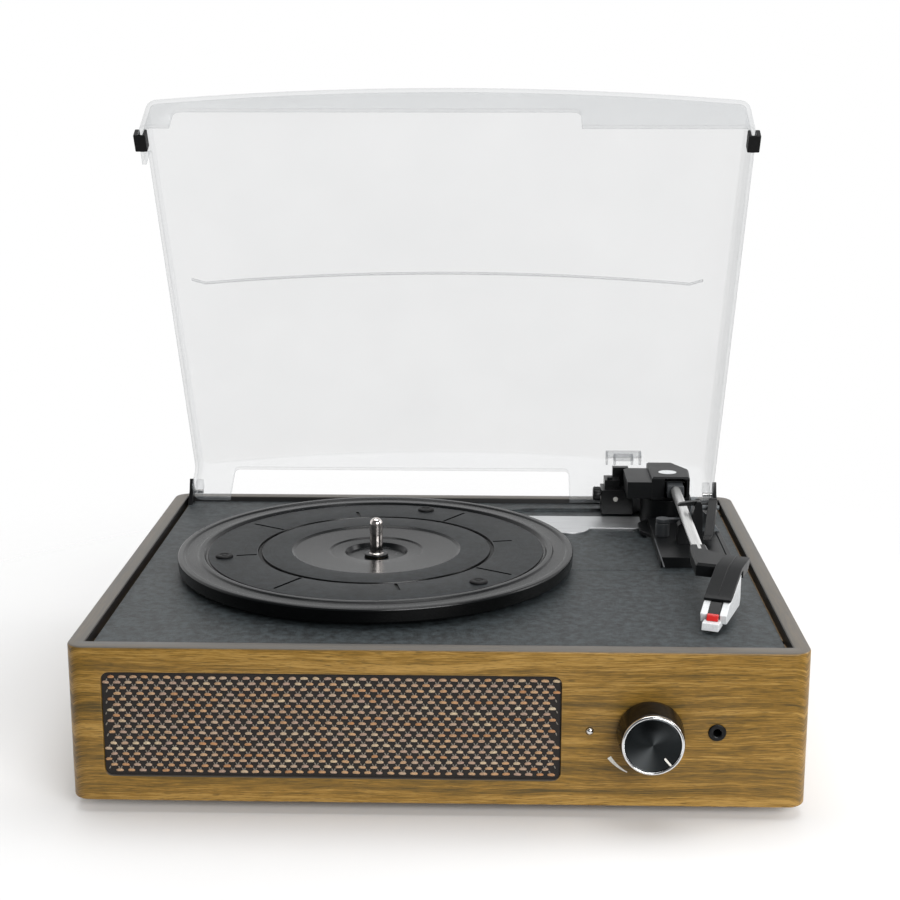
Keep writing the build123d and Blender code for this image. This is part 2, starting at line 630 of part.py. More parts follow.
turned_piece(rod(1.5, -9.5, 12.8), (PIVOT_X, PIVOT_Y, TILT_Z), (1, 0, 0), "arm_pivot_pin")

# ---- tonearm, built in its own slightly drooping frame ------------------------------------
droop = math.radians(ARM_DROOP)
ARM = Plane(origin=(0, PIVOT_Y, TILT_Z), x_dir=(1, 0, 0),
            z_dir=(0, -math.sin(droop), math.cos(droop)))
ARM_FORWARD = Plane(origin=(ARM_X, PIVOT_Y, TILT_Z), x_dir=(1, 0, 0), z_dir=-ARM.y_dir)


def arm_level(height):
    """A plane level with the arm, this far above its tilt axis."""
    return ARM.offset(height)


def arm_section(distance):
    """A plane across the arm tube, this far in front of the tilt axis."""
    return ARM_FORWARD.offset(distance)


with BuildPart() as arm_carrier:
    with BuildSketch(arm_section(-10)):
        with Locations((0, -0.5)):
            Rectangle(10.4, 8.2)
    extrude(amount=21)
    with BuildSketch(arm_section(-17)):
        with Locations((-3.2, 0)):
            Rectangle(8.6, 6.8)
    extrude(amount=7.5)
    with BuildSketch(Plane.YZ.offset(PIVOT_X - 10)):
        with Locations((PIVOT_Y, TILT_Z)):
            Circle(1.5 + RUNNING)
    extrude(amount=20, mode=Mode.SUBTRACT)
    with BuildSketch(arm_section(6)):
        Circle(TUBE_R + 0.02)
    extrude(amount=6, mode=Mode.SUBTRACT)
save(arm_carrier, "arm_carrier")

TUBE_END = 131.6
with BuildPart() as arm_tube:
    with BuildSketch(arm_section(6.2)):
        Circle(TUBE_R)
        Circle(TUBE_R - 0.6, mode=Mode.SUBTRACT)
    extrude(amount=TUBE_END + 8 - 6.2)
save(arm_tube, "arm_tube")

with BuildPart() as arm_boot:
    with BuildSketch(arm_section(11.2)):
        with Locations((0, -0.4)):
            RectangleRounded(9.8, 7.4, 1.2)
        Circle(TUBE_R + 0.02, mode=Mode.SUBTRACT)
    extrude(amount=9.6)
    chamfer(arm_boot.faces().sort_by(Axis.Y)[0].outer_wire().edges(), 0.3)
save(arm_boot, "arm_boot")

# headshell frame: origin at the middle of its rear edge, x to the right, y to the rear
skew = math.radians(HEAD_OFFSET_ANGLE)
HEAD_ORIGIN = ARM.from_local_coords(Vector(150.6, -153.0, 3.2))
HEAD_RIGHT = ARM.from_local_coords(Vector(math.cos(skew), -math.sin(skew), 0)) - ARM.origin
HEAD = Plane(origin=HEAD_ORIGIN, x_dir=HEAD_RIGHT, z_dir=ARM.z_dir)
HEAD_SIDE = Plane(origin=HEAD_ORIGIN, x_dir=-HEAD.y_dir, z_dir=-HEAD.x_dir)
HEAD_W = 13.4

ELBOW = [(-4.2, TUBE_END), (4.2, TUBE_END), (4.6, 141), (12.6, 150.5), (16.5, 152.6),
         (9.5, 168), (5.6, 167.6), (-4.8, 164), (-5.0, 143)]


def arm_plan(points):
    """Outline points given as (across from the tube, distance in front of the tilt axis)."""
    return [(ARM_X + x, -ahead) for x, ahead in points]


with BuildPart() as arm_elbow:
    with BuildSketch(arm_level(-4.0)):
        with BuildLine():
            Polyline(*arm_plan(ELBOW), close=True)
        make_face()
    extrude(amount=6.8)
    chamfer(arm_elbow.faces().sort_by(Axis.Z)[-1].edges(), 1.2)
    with BuildSketch(arm_section(TUBE_END - 1)):
        Circle(TUBE_R + 0.02)
    extrude(amount=9.02, mode=Mode.SUBTRACT)
    with BuildSketch(HEAD.offset(-20)):
        with Locations((20 - HEAD_W / 2, -29)):
            Rectangle(40, 60)
    extrude(amount=40, mode=Mode.SUBTRACT)
save(arm_elbow, "arm_elbow")



def head_profile(points, width, shift=0.0, label=None):
    """A piece of the pickup: (ahead, up) outline, as wide as given about the shell's middle."""
    with BuildPart() as piece:
        with BuildSketch(HEAD_SIDE.offset(shift)):
            with BuildLine():
                Polyline(*points, close=True)
            make_face()
        extrude(amount=width / 2, both=True)
    if label:
        save(piece, label)
    return piece.part


head_profile([(0, 0), (19, 0), (41.5, -7.6), (44, -9.0), (44, -10.2), (40.6, -10.2), (18.4, -2.4),
              (15.7, -2.4), (15.7, -6.4), (4.5, -6.4), (0, -3.0)], HEAD_W, 0.0, "headshell")

with BuildPart() as cartridge:
    add(head_profile([(19.0, -3.0), (40.2, -10.6), (44.2, -10.6), (51.6, -14.6), (50.4, -19.2),
                      (21, -19.2), (19, -16)], HEAD_W - 0.4))
    add(head_profile([(42.4, -9), (54, -9), (54, -17.0), (42.4, -17.0)], 6.0),
        mode=Mode.SUBTRACT)
save(cartridge, "cartridge")

head_profile([(42.6, -10.3), (45.2, -10.3), (51.4, -14.6), (51.4, -16.8), (42.6, -16.8)], 5.6, 0.0,
             "stylus_holder")
head_profile([(51.5, -13.9), (53.2, -14.8), (54.2, -16.9), (51.5, -16.9)], 5.6, 0.0, "stylus_block")
with BuildPart() as stylus_guard:
    add(head_profile([(48.5, -19.3), (56.0, -19.3), (56.0, -20.7), (48.5, -20.7)], 8.4))
    add(head_profile([(51.6, -17.1), (57.4, -17.1), (58.2, -20.7), (54.4, -20.7), (54.4, -19.4),
                      (51.6, -19.4)], 8.4))
save(stylus_guard, "stylus_guard")

# ---- cue lift, arm rest and latch ---------------------------------------------------------
POST_X, POST_Y = 122.6, FRONT_Y + 184.0
LIFT_ROD_R = 1.6

with BuildPart() as lift_guide:
    add(turned(ring(LIFT_ROD_R + RUNNING, 4.0, PLATFORM_TOP, 13.6), (POST_X, POST_Y, DECK_Z),
               UPWARD))
save(lift_guide, "lift_guide")

with BuildPart() as lift_bar:
    add(turned(rod(LIFT_ROD_R, PLATFORM_TOP + 0.6, 14.6), (POST_X, POST_Y, DECK_Z), UPWARD))
    with BuildSketch(above_deck(14.0)):
        with Locations((POST_X, POST_Y)):
            Circle(3.9)
        with Locations((POST_X + 8.2, POST_Y)):
            RectangleRounded(19, 4.2, 1.0)
    extrude(amount=2.2)
save(lift_bar, "lift_bar")

REST_Y = FRONT_Y + 170.0
REST_PIN = (140.6, REST_Y, DECK_Z + 29.0)
with BuildPart() as arm_rest:
    with BuildSketch(at_depth(166)):
        with BuildLine():
            Polyline((129.2, 81.0), (143.0, 81.0), (143.0, 96.0), (142.4, 104.0), (141.6, 105.6),
                     (139.6, 105.6), (138.8, 104.0), (137.4, 99.0), (137.4, 94.0), (136.4, 92.9),
                     (130.6, 92.9), (129.2, 91.6), close=True)
        make_face()
    extrude(amount=-8)
    with BuildSketch(at_depth(168)):
        with Locations((REST_PIN[0], REST_PIN[2] - BOTTOM_Z)):
            Circle(3.0)
        with Locations((REST_PIN[0] - 1.5, REST_PIN[2] - BOTTOM_Z + 2.0)):
            Rectangle(3.6, 5)
    extrude(amount=-4, mode=Mode.SUBTRACT)
    with BuildSketch(at_depth(166)):
        with Locations((REST_PIN[0], REST_PIN[2] - BOTTOM_Z)):
            Circle(0.6)
    extrude(amount=-8)
save(arm_rest, "arm_rest")

with BuildPart() as arm_latch:
    with BuildSketch(at_depth(168.4)):
        with Locations((REST_PIN[0], REST_PIN[2] - BOTTOM_Z)):
            Circle(1.5)
        with BuildLine():
            Polyline((140.6, 105.5), (137.6, 105.3), (130.4, 104.2), (129.0, 102.6),
                     (130.4, 102.4), (138.2, 102.9), (140.4, 102.6), close=True)
        make_face()
        with Locations((REST_PIN[0], REST_PIN[2] - BOTTOM_Z)):
            Circle(0.6 + RUNNING, mode=Mode.SUBTRACT)
    extrude(amount=-3.2)
save(arm_latch, "arm_latch")

LEVER_Y, LEVER_H = FRONT_Y + 207.0, 91.5
LEVER = [(1.6, 5.4), (-2.4, 5.0), (-24.0, -9.6), (-30.0, -9.4), (-30.4, -11.2), (-22.8, -12.4),
         (1.6, -3.6), (3.4, 0)]
with BuildPart() as cue_bracket:
    with BuildSketch(Plane.YZ.offset(140.8)):
        with BuildLine():
            Polyline((LEVER_Y - 3.6, DECK_Z + BASE_T), (LEVER_Y + 3.6, DECK_Z + BASE_T),
                     (LEVER_Y + 3.6, DECK_Z + 20.5), (LEVER_Y + 2.0, DECK_Z + 22.4),
                     (LEVER_Y - 2.0, DECK_Z + 22.4), (LEVER_Y - 3.6, DECK_Z + 20.5), close=True)
        make_face()
    extrude(amount=4.0)
    with BuildSketch(at_depth(205.8)):
        with BuildLine():
            Polyline((144.8, 77.4), (158.0, 77.4), (152.0, 86.0), (144.8, 92.4), close=True)
        make_face()
    extrude(amount=-2.4)
    with BuildSketch(above_deck(BASE_T)):
        with Locations((PIVOT_X, PIVOT_Y)):
            Circle(15.2)
    extrude(amount=30, mode=Mode.SUBTRACT)
    with BuildSketch(Plane.YZ.offset(144)):
        with Locations((LEVER_Y, BOTTOM_Z + LEVER_H)):
            Circle(1.3)
    extrude(amount=13.4)
save(cue_bracket, "cue_bracket")

with BuildPart() as cue_lever:
    with BuildSketch(Plane.YZ.offset(151.4)):
        with BuildLine():
            Polyline(*[(LEVER_Y + ahead, BOTTOM_Z + LEVER_H + up) for ahead, up in LEVER], close=True)
        make_face()
        with Locations((LEVER_Y, BOTTOM_Z + LEVER_H)):
            Circle(1.3 + RUNNING, mode=Mode.SUBTRACT)
    extrude(amount=5.0)
save(cue_lever, "cue_lever")

# ---- dust cover, modelled shut and then turned open about its hinge -----------------------
COVER_HINGE = Axis((0, HINGE_Y, HINGE_Z), (1, 0, 0))
COVER_FRONT_Y = COVER_REAR_Y - COVER_L
CUT_H = 16.5


def cover_section(y, half, side, crown, floor):
    """The cover's cross-section at this y: straight sides under a low arch."""
    with BuildSketch(Plane(origin=(0, y, COVER_RIM_Z), x_dir=(1, 0, 0), z_dir=(0, -1, 0))) as cut:
        with BuildLine():
            Polyline((-half, side), (-half, floor), (half, floor), (half, side))
            ThreePointArc((half, side), (0, side + crown), (-half, side))
        make_face()
    return cut.sketch.faces()[0]


def cover_block(inset, drop, floor=0.0):
    """A solid with the cover's outer shape, its walls moved in and its top moved down."""
    half = COVER_W / 2 - inset
    with BuildPart() as block:
        loft([cover_section(COVER_REAR_Y - inset, half, COVER_REAR_H - drop, COVER_CROWN, floor),
              cover_section(COVER_FRONT_Y + inset, half - 1.0, COVER_FRONT_H - drop, COVER_CROWN, floor)])
    return block.part


def opened(piece):
    """The same piece with the cover swung open."""
    return piece.rotate(COVER_HINGE, -COVER_OPEN)


OUTER_COVER = cover_block(0.0, 0.0)
INNER_COVER = cover_block(COVER_T, COVER_T, -1.0)

with BuildPart() as shut_cover:
    add(OUTER_COVER)
    add(INNER_COVER, mode=Mode.SUBTRACT)
    # cut-outs in the front, left and rear walls, where a large record overhangs the cabinet
    with BuildSketch(Plane(origin=(0, COVER_FRONT_Y - 2, COVER_RIM_Z), x_dir=(1, 0, 0), z_dir=(0, -1, 0))):
        with Locations(((70.6 - 144.0) / 2, 0)):
            RectangleRounded(70.6 + 144.0, 2 * CUT_H, 4)
    extrude(amount=-8, mode=Mode.SUBTRACT)
    with BuildSketch(Plane(origin=(-COVER_W / 2 - 2, 0, COVER_RIM_Z), x_dir=(0, -1, 0), z_dir=(-1, 0, 0))):
        with Locations((-(COVER_FRONT_Y + COVER_REAR_Y) / 2 - 6, 0)):
            RectangleRounded(COVER_L - 36, 2 * CUT_H, 4)
    extrude(amount=-8, mode=Mode.SUBTRACT)
    with BuildSketch(Plane(origin=(0, COVER_REAR_Y + 2, COVER_RIM_Z), x_dir=(-1, 0, 0), z_dir=(0, 1, 0))):
        with Locations(((139.0 - 73.5) / 2, 0)):
            Rectangle(139.0 + 73.5, 2 * (COVER_REAR_H - COVER_T + 0.5))
    extrude(amount=-(COVER_T + 2), mode=Mode.SUBTRACT)
    for side in (-1, 1):
        x = side * (COVER_W / 2 - 3.0)
        with BuildSketch(Plane.XY.offset(COVER_RIM_Z + 0.3)):
            with Locations((x, COVER_REAR_Y - 4.9)):
                Rectangle(4.8, 8.2)
        extrude(amount=10)
    with BuildSketch(Plane.YZ.offset(-COVER_W / 2 - 1)):
        with Locations((HINGE_Y, HINGE_Z)):
            Circle(HINGE_PIN_R + RUNNING)
    extrude(amount=COVER_W + 2, mode=Mode.SUBTRACT)

with BuildPart() as dust_cover:
    add(opened(shut_cover.part))
save(dust_cover, "dust_cover")

with BuildPart() as shut_bumpers:
    for side in (-1, 1):
        x = side * (COVER_W / 2 - 1.0)
        with BuildSketch(Plane.XY.offset(COVER_RIM_Z - 0.7)):
            with Locations((x - side * 0.6, COVER_FRONT_Y + 11)):
                RectangleRounded(6.4, 10, 0.6)
        extrude(amount=6.5)
    add(shut_cover.part, mode=Mode.SUBTRACT)

with BuildPart() as cover_bumpers:
    add(opened(shut_bumpers.part))
save(cover_bumpers, "cover_bumpers")

POST_INNER = COVER_W / 2 + 0.4
with BuildPart() as hinge_posts:
    for side in (-1, 1):
        x = side * (POST_INNER + 1.2)
        with BuildSketch(Plane.YZ.offset(x)):
            with BuildLine():
                Polyline((HINGE_Y - 9.5, DECK_Z), (HINGE_Y + 2.2, DECK_Z), (HINGE_Y + 2.4, HINGE_Z + 1.0),
                         (HINGE_Y + 0.6, DECK_Z + 14.6), (HINGE_Y - 0.4, DECK_Z + 14.6),
                         (HINGE_Y - 3.2, HINGE_Z + 1.0), close=True)
            make_face()
            with Locations((HINGE_Y, HINGE_Z)):
                Circle(HINGE_PIN_R, mode=Mode.SUBTRACT)
        extrude(amount=1.2, both=True)
save(hinge_posts, "hinge_posts")

with BuildPart() as hinge_pins:
    for side in (-1, 1):
        start = (side * (COVER_W / 2 - 5.6), HINGE_Y, HINGE_Z)
        add(turned(rod(HINGE_PIN_R, 0, 8.4, 0.2), start, (side, 0, 0)))
save(hinge_pins, "hinge_pins")
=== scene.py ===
import json
import math
import random

import bmesh
import bpy
from mathutils import Matrix, Vector


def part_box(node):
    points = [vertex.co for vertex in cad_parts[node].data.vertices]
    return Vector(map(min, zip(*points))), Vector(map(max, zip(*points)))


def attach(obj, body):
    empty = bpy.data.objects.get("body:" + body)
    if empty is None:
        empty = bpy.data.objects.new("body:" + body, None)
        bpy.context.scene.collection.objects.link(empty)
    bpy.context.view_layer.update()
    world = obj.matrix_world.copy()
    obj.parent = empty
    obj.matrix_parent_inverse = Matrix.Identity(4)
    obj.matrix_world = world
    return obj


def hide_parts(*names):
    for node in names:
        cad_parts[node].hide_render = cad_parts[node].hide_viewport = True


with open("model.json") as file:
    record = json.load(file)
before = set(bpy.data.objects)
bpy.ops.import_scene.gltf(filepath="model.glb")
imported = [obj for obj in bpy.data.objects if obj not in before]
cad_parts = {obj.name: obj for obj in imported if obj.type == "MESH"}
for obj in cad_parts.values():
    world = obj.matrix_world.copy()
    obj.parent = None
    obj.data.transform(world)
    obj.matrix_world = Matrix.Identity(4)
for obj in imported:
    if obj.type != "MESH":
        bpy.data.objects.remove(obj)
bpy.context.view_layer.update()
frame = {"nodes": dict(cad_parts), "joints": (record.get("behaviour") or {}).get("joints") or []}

bl_info = {
    "name": "Turntable Record Player", "version": (1, 0, 0), "blender": (4, 5, 0),
    "location": "View3D > Sidebar > Turntable",
    "description": "Builds a wooden record player with a clear cover round its packed part",
    "category": "Object", }

# Shapes are worked out in millimetres and turned into metres when their mesh is made.
MM = 0.001
SHARP_ANGLE = math.radians(32)


def span(node):
    """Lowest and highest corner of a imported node, in millimetres."""
    low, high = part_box(node)
    return low / MM, high / MM


def middle(node):
    """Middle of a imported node's box, in millimetres."""
    low, high = span(node)
    return (low + high) / 2


CABINET_LOW, CABINET_HIGH = span("cabinet_shell")
FRONT_Y, BACK_Y = CABINET_LOW.y, CABINET_HIGH.y
DECK_Z = span("deck_plate")[1].z
GRILLE_LOW, GRILLE_HIGH = span("grille_cloth")
GRILLE_MID = middle("grille_cloth")
LED_MID, KNOB_MID, JACK_MID = middle("led_lens"), middle("knob_body"), middle("headphone_jack")
PLATTER_HIGH = span("platter")[1]
PLATTER_MID = middle("platter")
HINGE = next(Vector(j["pos_m"]) / MM for j in frame["joints"] if j["name"] == "cover_hinge")
OPEN_ANGLE = next(math.radians(j["range_deg"][0]) for j in frame["joints"] if j["name"] == "cover_hinge")

UP = (Vector((1, 0, 0)), Vector((0, 1, 0)), Vector((0, 0, 1)))
FORWARD = (Vector((1, 0, 0)), Vector((0, 0, 1)), Vector((0, -1, 0)))
BACKWARD = (Vector((-1, 0, 0)), Vector((0, 0, 1)), Vector((0, 1, 0)))
ACROSS = (Vector((0, 1, 0)), Vector((0, 0, 1)), Vector((1, 0, 0)))


# ---- sizes and colours a user would change ------------------------------------------------
def size(name, description, default, low=0.0, high=0.5):
    """A length setting, in metres."""
    return bpy.props.FloatProperty(name=name, description=description, default=default,
                                   min=low, max=high, subtype="DISTANCE", unit="LENGTH")


def colour(name, description, default):
    """A colour setting, in linear light."""
    return bpy.props.FloatVectorProperty(name=name, description=description, default=default,
                                         min=0.0, max=1.0, size=3, subtype="COLOR")


def share(name, description, default, high=1.0):
    """A plain share or strength setting."""
    return bpy.props.FloatProperty(name=name, description=description, default=default,
                                   min=0.0, max=high, subtype="FACTOR")


class CabinetSettings(bpy.types.PropertyGroup):
    light_grain: colour("Light Grain", "Palest bands of the veneer", (0.43, 0.252, 0.060))
    mid_grain: colour("Middle Grain", "Golden ground of the veneer", (0.275, 0.148, 0.023))
    dark_grain: colour("Dark Grain", "Olive streaks in the veneer", (0.088, 0.058, 0.015))
    wall: size("Wall", "Thickness of the cabinet's boards", 0.0085)
    corner: size("Corner", "Radius of the upright corners", 0.009)
    edge: size("Edge", "Rounding of the top and bottom edges", 0.0012)


class GrilleSettings(bpy.types.PropertyGroup):
    row_pitch: size("Row Pitch", "Height between two rows of stitches", 0.00277)
    stitch_pitch: size("Stitch Pitch", "Width between two stitches of a row", 0.0054)
    ground: colour("Ground", "Colour of the cloth between the stitches", (0.012, 0.010, 0.009))


class PlatterSettings(bpy.types.PropertyGroup):
    black: colour("Black", "Moulded colour of the platter", (0.0085, 0.0105, 0.0118))
    slot_width: size("Slot Width", "Width of the short cuts round the platter", 0.0017)


class DeckSettings(bpy.types.PropertyGroup):
    black: colour("Black", "Colour of the grained deck", (0.0175, 0.0225, 0.0245))
    grain: size("Grain", "Size of one grain of the deck's surface", 0.0009)


class ControlSettings(bpy.types.PropertyGroup):
    knob_black: colour("Knob Black", "Colour of the knob's glossy skirt", (0.004, 0.004, 0.0045))
    print_white: colour("Print White", "Colour of the printed marks", (0.86, 0.84, 0.78))


class ArmSettings(bpy.types.PropertyGroup):
    edge: size("Edge", "Rounding of the moulded edges", 0.00035)
    plastic: colour("Plastic", "Dark plastic of the tonearm and its base", (0.0048, 0.0054, 0.0060))
    grey: colour("Grey", "Light grey plastic of the lift", (0.15, 0.165, 0.175))


class CoverSettings(bpy.types.PropertyGroup):
    tint: colour("Tint", "Colour of the clear plastic", (0.36, 0.385, 0.405))
    veil: share("Veil", "How much the plastic hides when seen face on", 0.105)
    edge: size("Edge", "Rounding of the cover's outer edges", 0.003)
    thickness: size("Thickness", "Thickness of the plastic", 0.0022)


class StageSettings(bpy.types.PropertyGroup):
    floor: colour("Floor", "Colour of the pale floor", (0.93, 0.93, 0.93))
    light: share("Light", "Strength of the studio light", 1.0, 4.0)


SETTINGS = {
    "turntable_cabinet": CabinetSettings, "turntable_grille": GrilleSettings,
    "turntable_deck": DeckSettings, "turntable_platter": PlatterSettings,
    "turntable_controls": ControlSettings, "turntable_arm": ArmSettings,
    "turntable_cover": CoverSettings, "turntable_stage": StageSettings, }


# ---- node work ----------------------------------------------------------------------------
class Bench:
    """Places and joins the nodes of one material or one shared effect."""

    def __init__(self, tree):
        self.tree = tree

    def node(self, kind, values=None, **settings):
        """A new node, with its settings and its inputs as plain values or joined sockets."""
        new = self.tree.nodes.new("ShaderNode" + kind)
        for key, value in settings.items():
            setattr(new, key, value)
        for key, value in (values or {}).items():
            if isinstance(value, bpy.types.NodeSocket):
                self.tree.links.new(value, new.inputs[key])
            else:
                new.inputs[key].default_value = value
        return new

    def sum(self, operation, *terms):
        return self.node("Math", dict(enumerate(terms)), operation=operation).outputs[0]

    def plus(self, *terms):
        return self.sum("ADD", *terms)

    def minus(self, *terms):
        return self.sum("SUBTRACT", *terms)

    def times(self, *terms):
        return self.sum("MULTIPLY", *terms)

    def over(self, *terms):
        return self.sum("DIVIDE", *terms)

    def vector(self, operation, *terms):
        return self.node("VectorMath", dict(enumerate(terms)), operation=operation).outputs[0]

    def stretched(self, point, x, y, z):
        """The point with each direction counted in its own unit."""
        return self.vector("MULTIPLY", point, (1 / x, 1 / y, 1 / z))

    def noise(self, point, scale=1.0, detail=2.0, roughness=0.5, distortion=0.0):
        return self.node("TexNoise", {"Vector": point, "Scale": scale, "Detail": detail,
                                      "Roughness": roughness, "Distortion": distortion}).outputs[0]

    def between(self, value, low, high, to_low=0.0, to_high=1.0):
        return self.node("MapRange", {"Value": value, "From Min": low, "From Max": high,
                                      "To Min": to_low, "To Max": to_high},
                         interpolation_type="SMOOTHSTEP").outputs[0]

    def mixed(self, share_of_second, first, second, how="MIX"):
        return self.node("Mix", {0: share_of_second, 6: rgba(first), 7: rgba(second)},
                         data_type="RGBA", blend_type=how).outputs[2]

    def ramp(self, value, stops):
        new = self.node("ValToRGB", {0: value})
        elements = new.color_ramp.elements
        while len(elements) < len(stops):
            elements.new(0.5)
        for element, (place, shade) in zip(elements, stops):
            element.position = place
            element.color = rgba(shade)
        return new.outputs[0]

    def split(self, point):
        return self.node("SeparateXYZ", {0: point}).outputs

    def effect(self, name, **values):
        """One of the shared effects, with this material's own values."""
        new = self.node("Group", node_tree=bpy.data.node_groups[name])
        for key, value in values.items():
            if isinstance(value, bpy.types.NodeSocket):
                self.tree.links.new(value, new.inputs[key])
            else:
                new.inputs[key].default_value = value
        return new.outputs


def rgba(shade):
    """A plain colour with its fourth number; a socket stays as it is."""
    if isinstance(shade, bpy.types.NodeSocket):
        return shade
    return (*shade[:3], 1.0)


def shared_effect(name, takes, gives):
    """A new node group, with a bench to build it on, its inputs, and its closing node."""
    tree = bpy.data.node_groups.new(name, "ShaderNodeTree")
    for label, default in takes.items():
        kind = "Vector" if default is None else "Float"
        socket = tree.interface.new_socket(label, in_out="INPUT", socket_type="NodeSocket" + kind)
        if default is not None:
            socket.default_value = default
    for label in gives:
        tree.interface.new_socket(label, in_out="OUTPUT", socket_type="NodeSocketFloat")
    return Bench(tree), tree.nodes.new("NodeGroupInput").outputs, tree.nodes.new("NodeGroupOutput")


def build_shared_effects():
    """The effects that several finishes use."""
    bench, given, out = shared_effect("Moulded Grain", {"Point": None, "Size": 0.6}, ("Height", "Shade"))
    scale = bench.over(1.0, given["Size"])
    cells = bench.node("TexVoronoi", {"Vector": given["Point"], "Scale": scale, "Randomness": 1.0},
                       feature="SMOOTH_F1").outputs["Distance"]
    fine = bench.noise(given["Point"], bench.times(scale, 1.7), 3.0, 0.6)
    height = bench.plus(bench.times(cells, 0.55), bench.times(fine, 0.6))
    bench.tree.links.new(height, out.inputs["Height"])
    wide = bench.noise(given["Point"], bench.times(scale, 0.22), 4.0, 0.7)
    shade = bench.plus(bench.times(wide, 0.5), bench.times(fine, 0.5))
    bench.tree.links.new(shade, out.inputs["Shade"])

    bench, given, out = shared_effect("Handling", {"Point": None, "Roughness": 0.4, "Spread": 0.1},
                                      ("Roughness", "Dust"))
    smear = bench.noise(bench.stretched(given["Point"], 17.0, 23.0, 19.0), 1.0, 4.0, 0.6, 0.8)
    rough = bench.plus(given["Roughness"], bench.times(bench.minus(smear, 0.5), given["Spread"]))
    bench.tree.links.new(rough, out.inputs["Roughness"])
    upward = bench.split(bench.node("NewGeometry").outputs["Normal"])[2]
    specks = bench.between(bench.noise(given["Point"], 2.6, 2.0, 0.7), 0.66, 0.80)
    patches = bench.between(bench.noise(given["Point"], 0.035, 3.0), 0.45, 0.75)
    dust = bench.times(bench.times(specks, patches), bench.between(upward, 0.3, 0.95))
    bench.tree.links.new(dust, out.inputs["Dust"])

    # Edge mask from the Bevel node: finishes lighten their edges with it, partly wear and partly a painted
    # highlight; the clear plastic thickens its veil with it.
    bench, given, out = shared_effect("Worn And Lit Edge", {"Reach": 0.0006}, ("Mask",))
    rounded = bench.node("Bevel", {"Radius": given["Reach"]}, samples=4).outputs[0]
    flat = bench.node("NewGeometry").outputs["Normal"]
    along = bench.node("VectorMath", {0: rounded, 1: flat}, operation="DOT_PRODUCT").outputs[1]
    bench.tree.links.new(bench.between(along, 0.995, 0.86), out.inputs["Mask"])

    bench, given, out = shared_effect("Turned Marks", {"Point": None, "Pitch": 0.3}, ("Lines", "Radius"))
    x, y, _ = bench.split(given["Point"])
    radius = bench.sum("SQRT", bench.plus(bench.times(x, x), bench.times(y, y)))
    lines = bench.node("TexNoise", {"W": bench.over(radius, given["Pitch"]), "Scale": 1.0,
                                    "Detail": 3.0, "Roughness": 0.7}, noise_dimensions="1D").outputs[0]
    bench.tree.links.new(lines, out.inputs["Lines"])
    bench.tree.links.new(radius, out.inputs["Radius"])

    bench, given, out = shared_effect("Wood Fibre", {"Along": 0.0, "Across": 0.0, "Depth": 0.0},
                                      ("Bands", "Fibres", "Pores"))

    def on_board(along_unit, across_unit, shift):
        return bench.node("CombineXYZ", {
            0: bench.over(given["Along"], along_unit),
            1: bench.over(bench.plus(given["Across"], bent), across_unit),
            2: bench.plus(given["Depth"], shift)}).outputs[0]

    bent = 0.0
    waves = bench.noise(on_board(150.0, 45.0, 3.1), 1.0, 2.0, 0.5)
    bent = bench.times(bench.minus(waves, 0.5), 13.0)
    bands = bench.noise(on_board(300.0, 6.5, 0.4), 1.0, 4.0, 0.62)
    fibres = bench.noise(on_board(14.0, 0.55, 7.7), 1.0, 4.0, 0.70)
    pores = bench.between(bench.noise(on_board(6.0, 0.42, 5.2), 1.0, 2.0, 0.5), 0.54, 0.68)
    for label, value in (("Bands", bands), ("Fibres", fibres), ("Pores", pores)):
        bench.tree.links.new(value, out.inputs[label])


class Finish(Bench):
    """One material: its shader, and each point's own place in millimetres."""

    def __init__(self, name):
        self.material = bpy.data.materials.new(name)
        self.material.use_nodes = True
        self.material.node_tree.nodes.clear()
        super().__init__(self.material.node_tree)
        self.shader = self.node("BsdfPrincipled")
        self.node("OutputMaterial", {"Surface": self.shader.outputs[0]})
        self.point = self.node("VectorMath", {0: self.node("TexCoord").outputs["Object"], 3: 1 / MM},
                               operation="SCALE").outputs[0]

    def around(self, centre, axes):
        """The point seen along an axis: across, across, along, from the centre."""
        local = self.vector("SUBTRACT", self.point, tuple(centre))
        parts = [self.node("VectorMath", {0: local, 1: tuple(a)}, operation="DOT_PRODUCT").outputs[1]
                 for a in axes]
        return self.node("CombineXYZ", dict(enumerate(parts))).outputs[0]

    def done(self, values, height=None, strength=0.3, depth=0.1):
        """Set the shader's inputs, with a bump of this depth in millimetres."""
        if height is not None:
            values["Normal"] = self.node("Bump", {"Height": height, "Strength": strength,
                                                  "Distance": depth * MM}).outputs[0]
        for key, value in values.items():
            if isinstance(value, bpy.types.NodeSocket):
                self.tree.links.new(value, self.shader.inputs[key])
            else:
                self.shader.inputs[key].default_value = value
        return self.material


def moulded(name, shade, roughness=0.45, grain=0.35, depth=0.03, edge=1.9, dust=0.10, **more):
    """A moulded plastic or rubber: fine grain, handled patches, lighter edges (partly wear, partly a painted
    highlight) and a little dust.
    """
    finish = Finish(name)
    skin = finish.effect("Moulded Grain", Point=finish.point, Size=grain)
    use = finish.effect("Handling", Point=finish.point, Roughness=roughness, Spread=0.16)
    worn_and_lit_edge = finish.effect("Worn And Lit Edge")["Mask"]
    low = tuple(c * 0.86 for c in shade)
    high = tuple(min(1.0, c * 1.16) for c in shade)
    body = finish.mixed(finish.between(skin["Shade"], 0.3, 0.7), low, high)
    # Edges are lightened towards a paler copy of the colour: partly wear, partly a painted highlight.
    pale = tuple(min(1.0, c * edge + 0.004 * edge) for c in shade)
    body = finish.mixed(finish.times(worn_and_lit_edge, 0.55), body, pale)
    body = finish.mixed(finish.times(use["Dust"], dust), body, (0.42, 0.42, 0.41))
    values = {"Base Color": body, "Roughness": use["Roughness"]}
    values.update(more)
    return finish.done(values, skin["Height"], 0.5, depth)


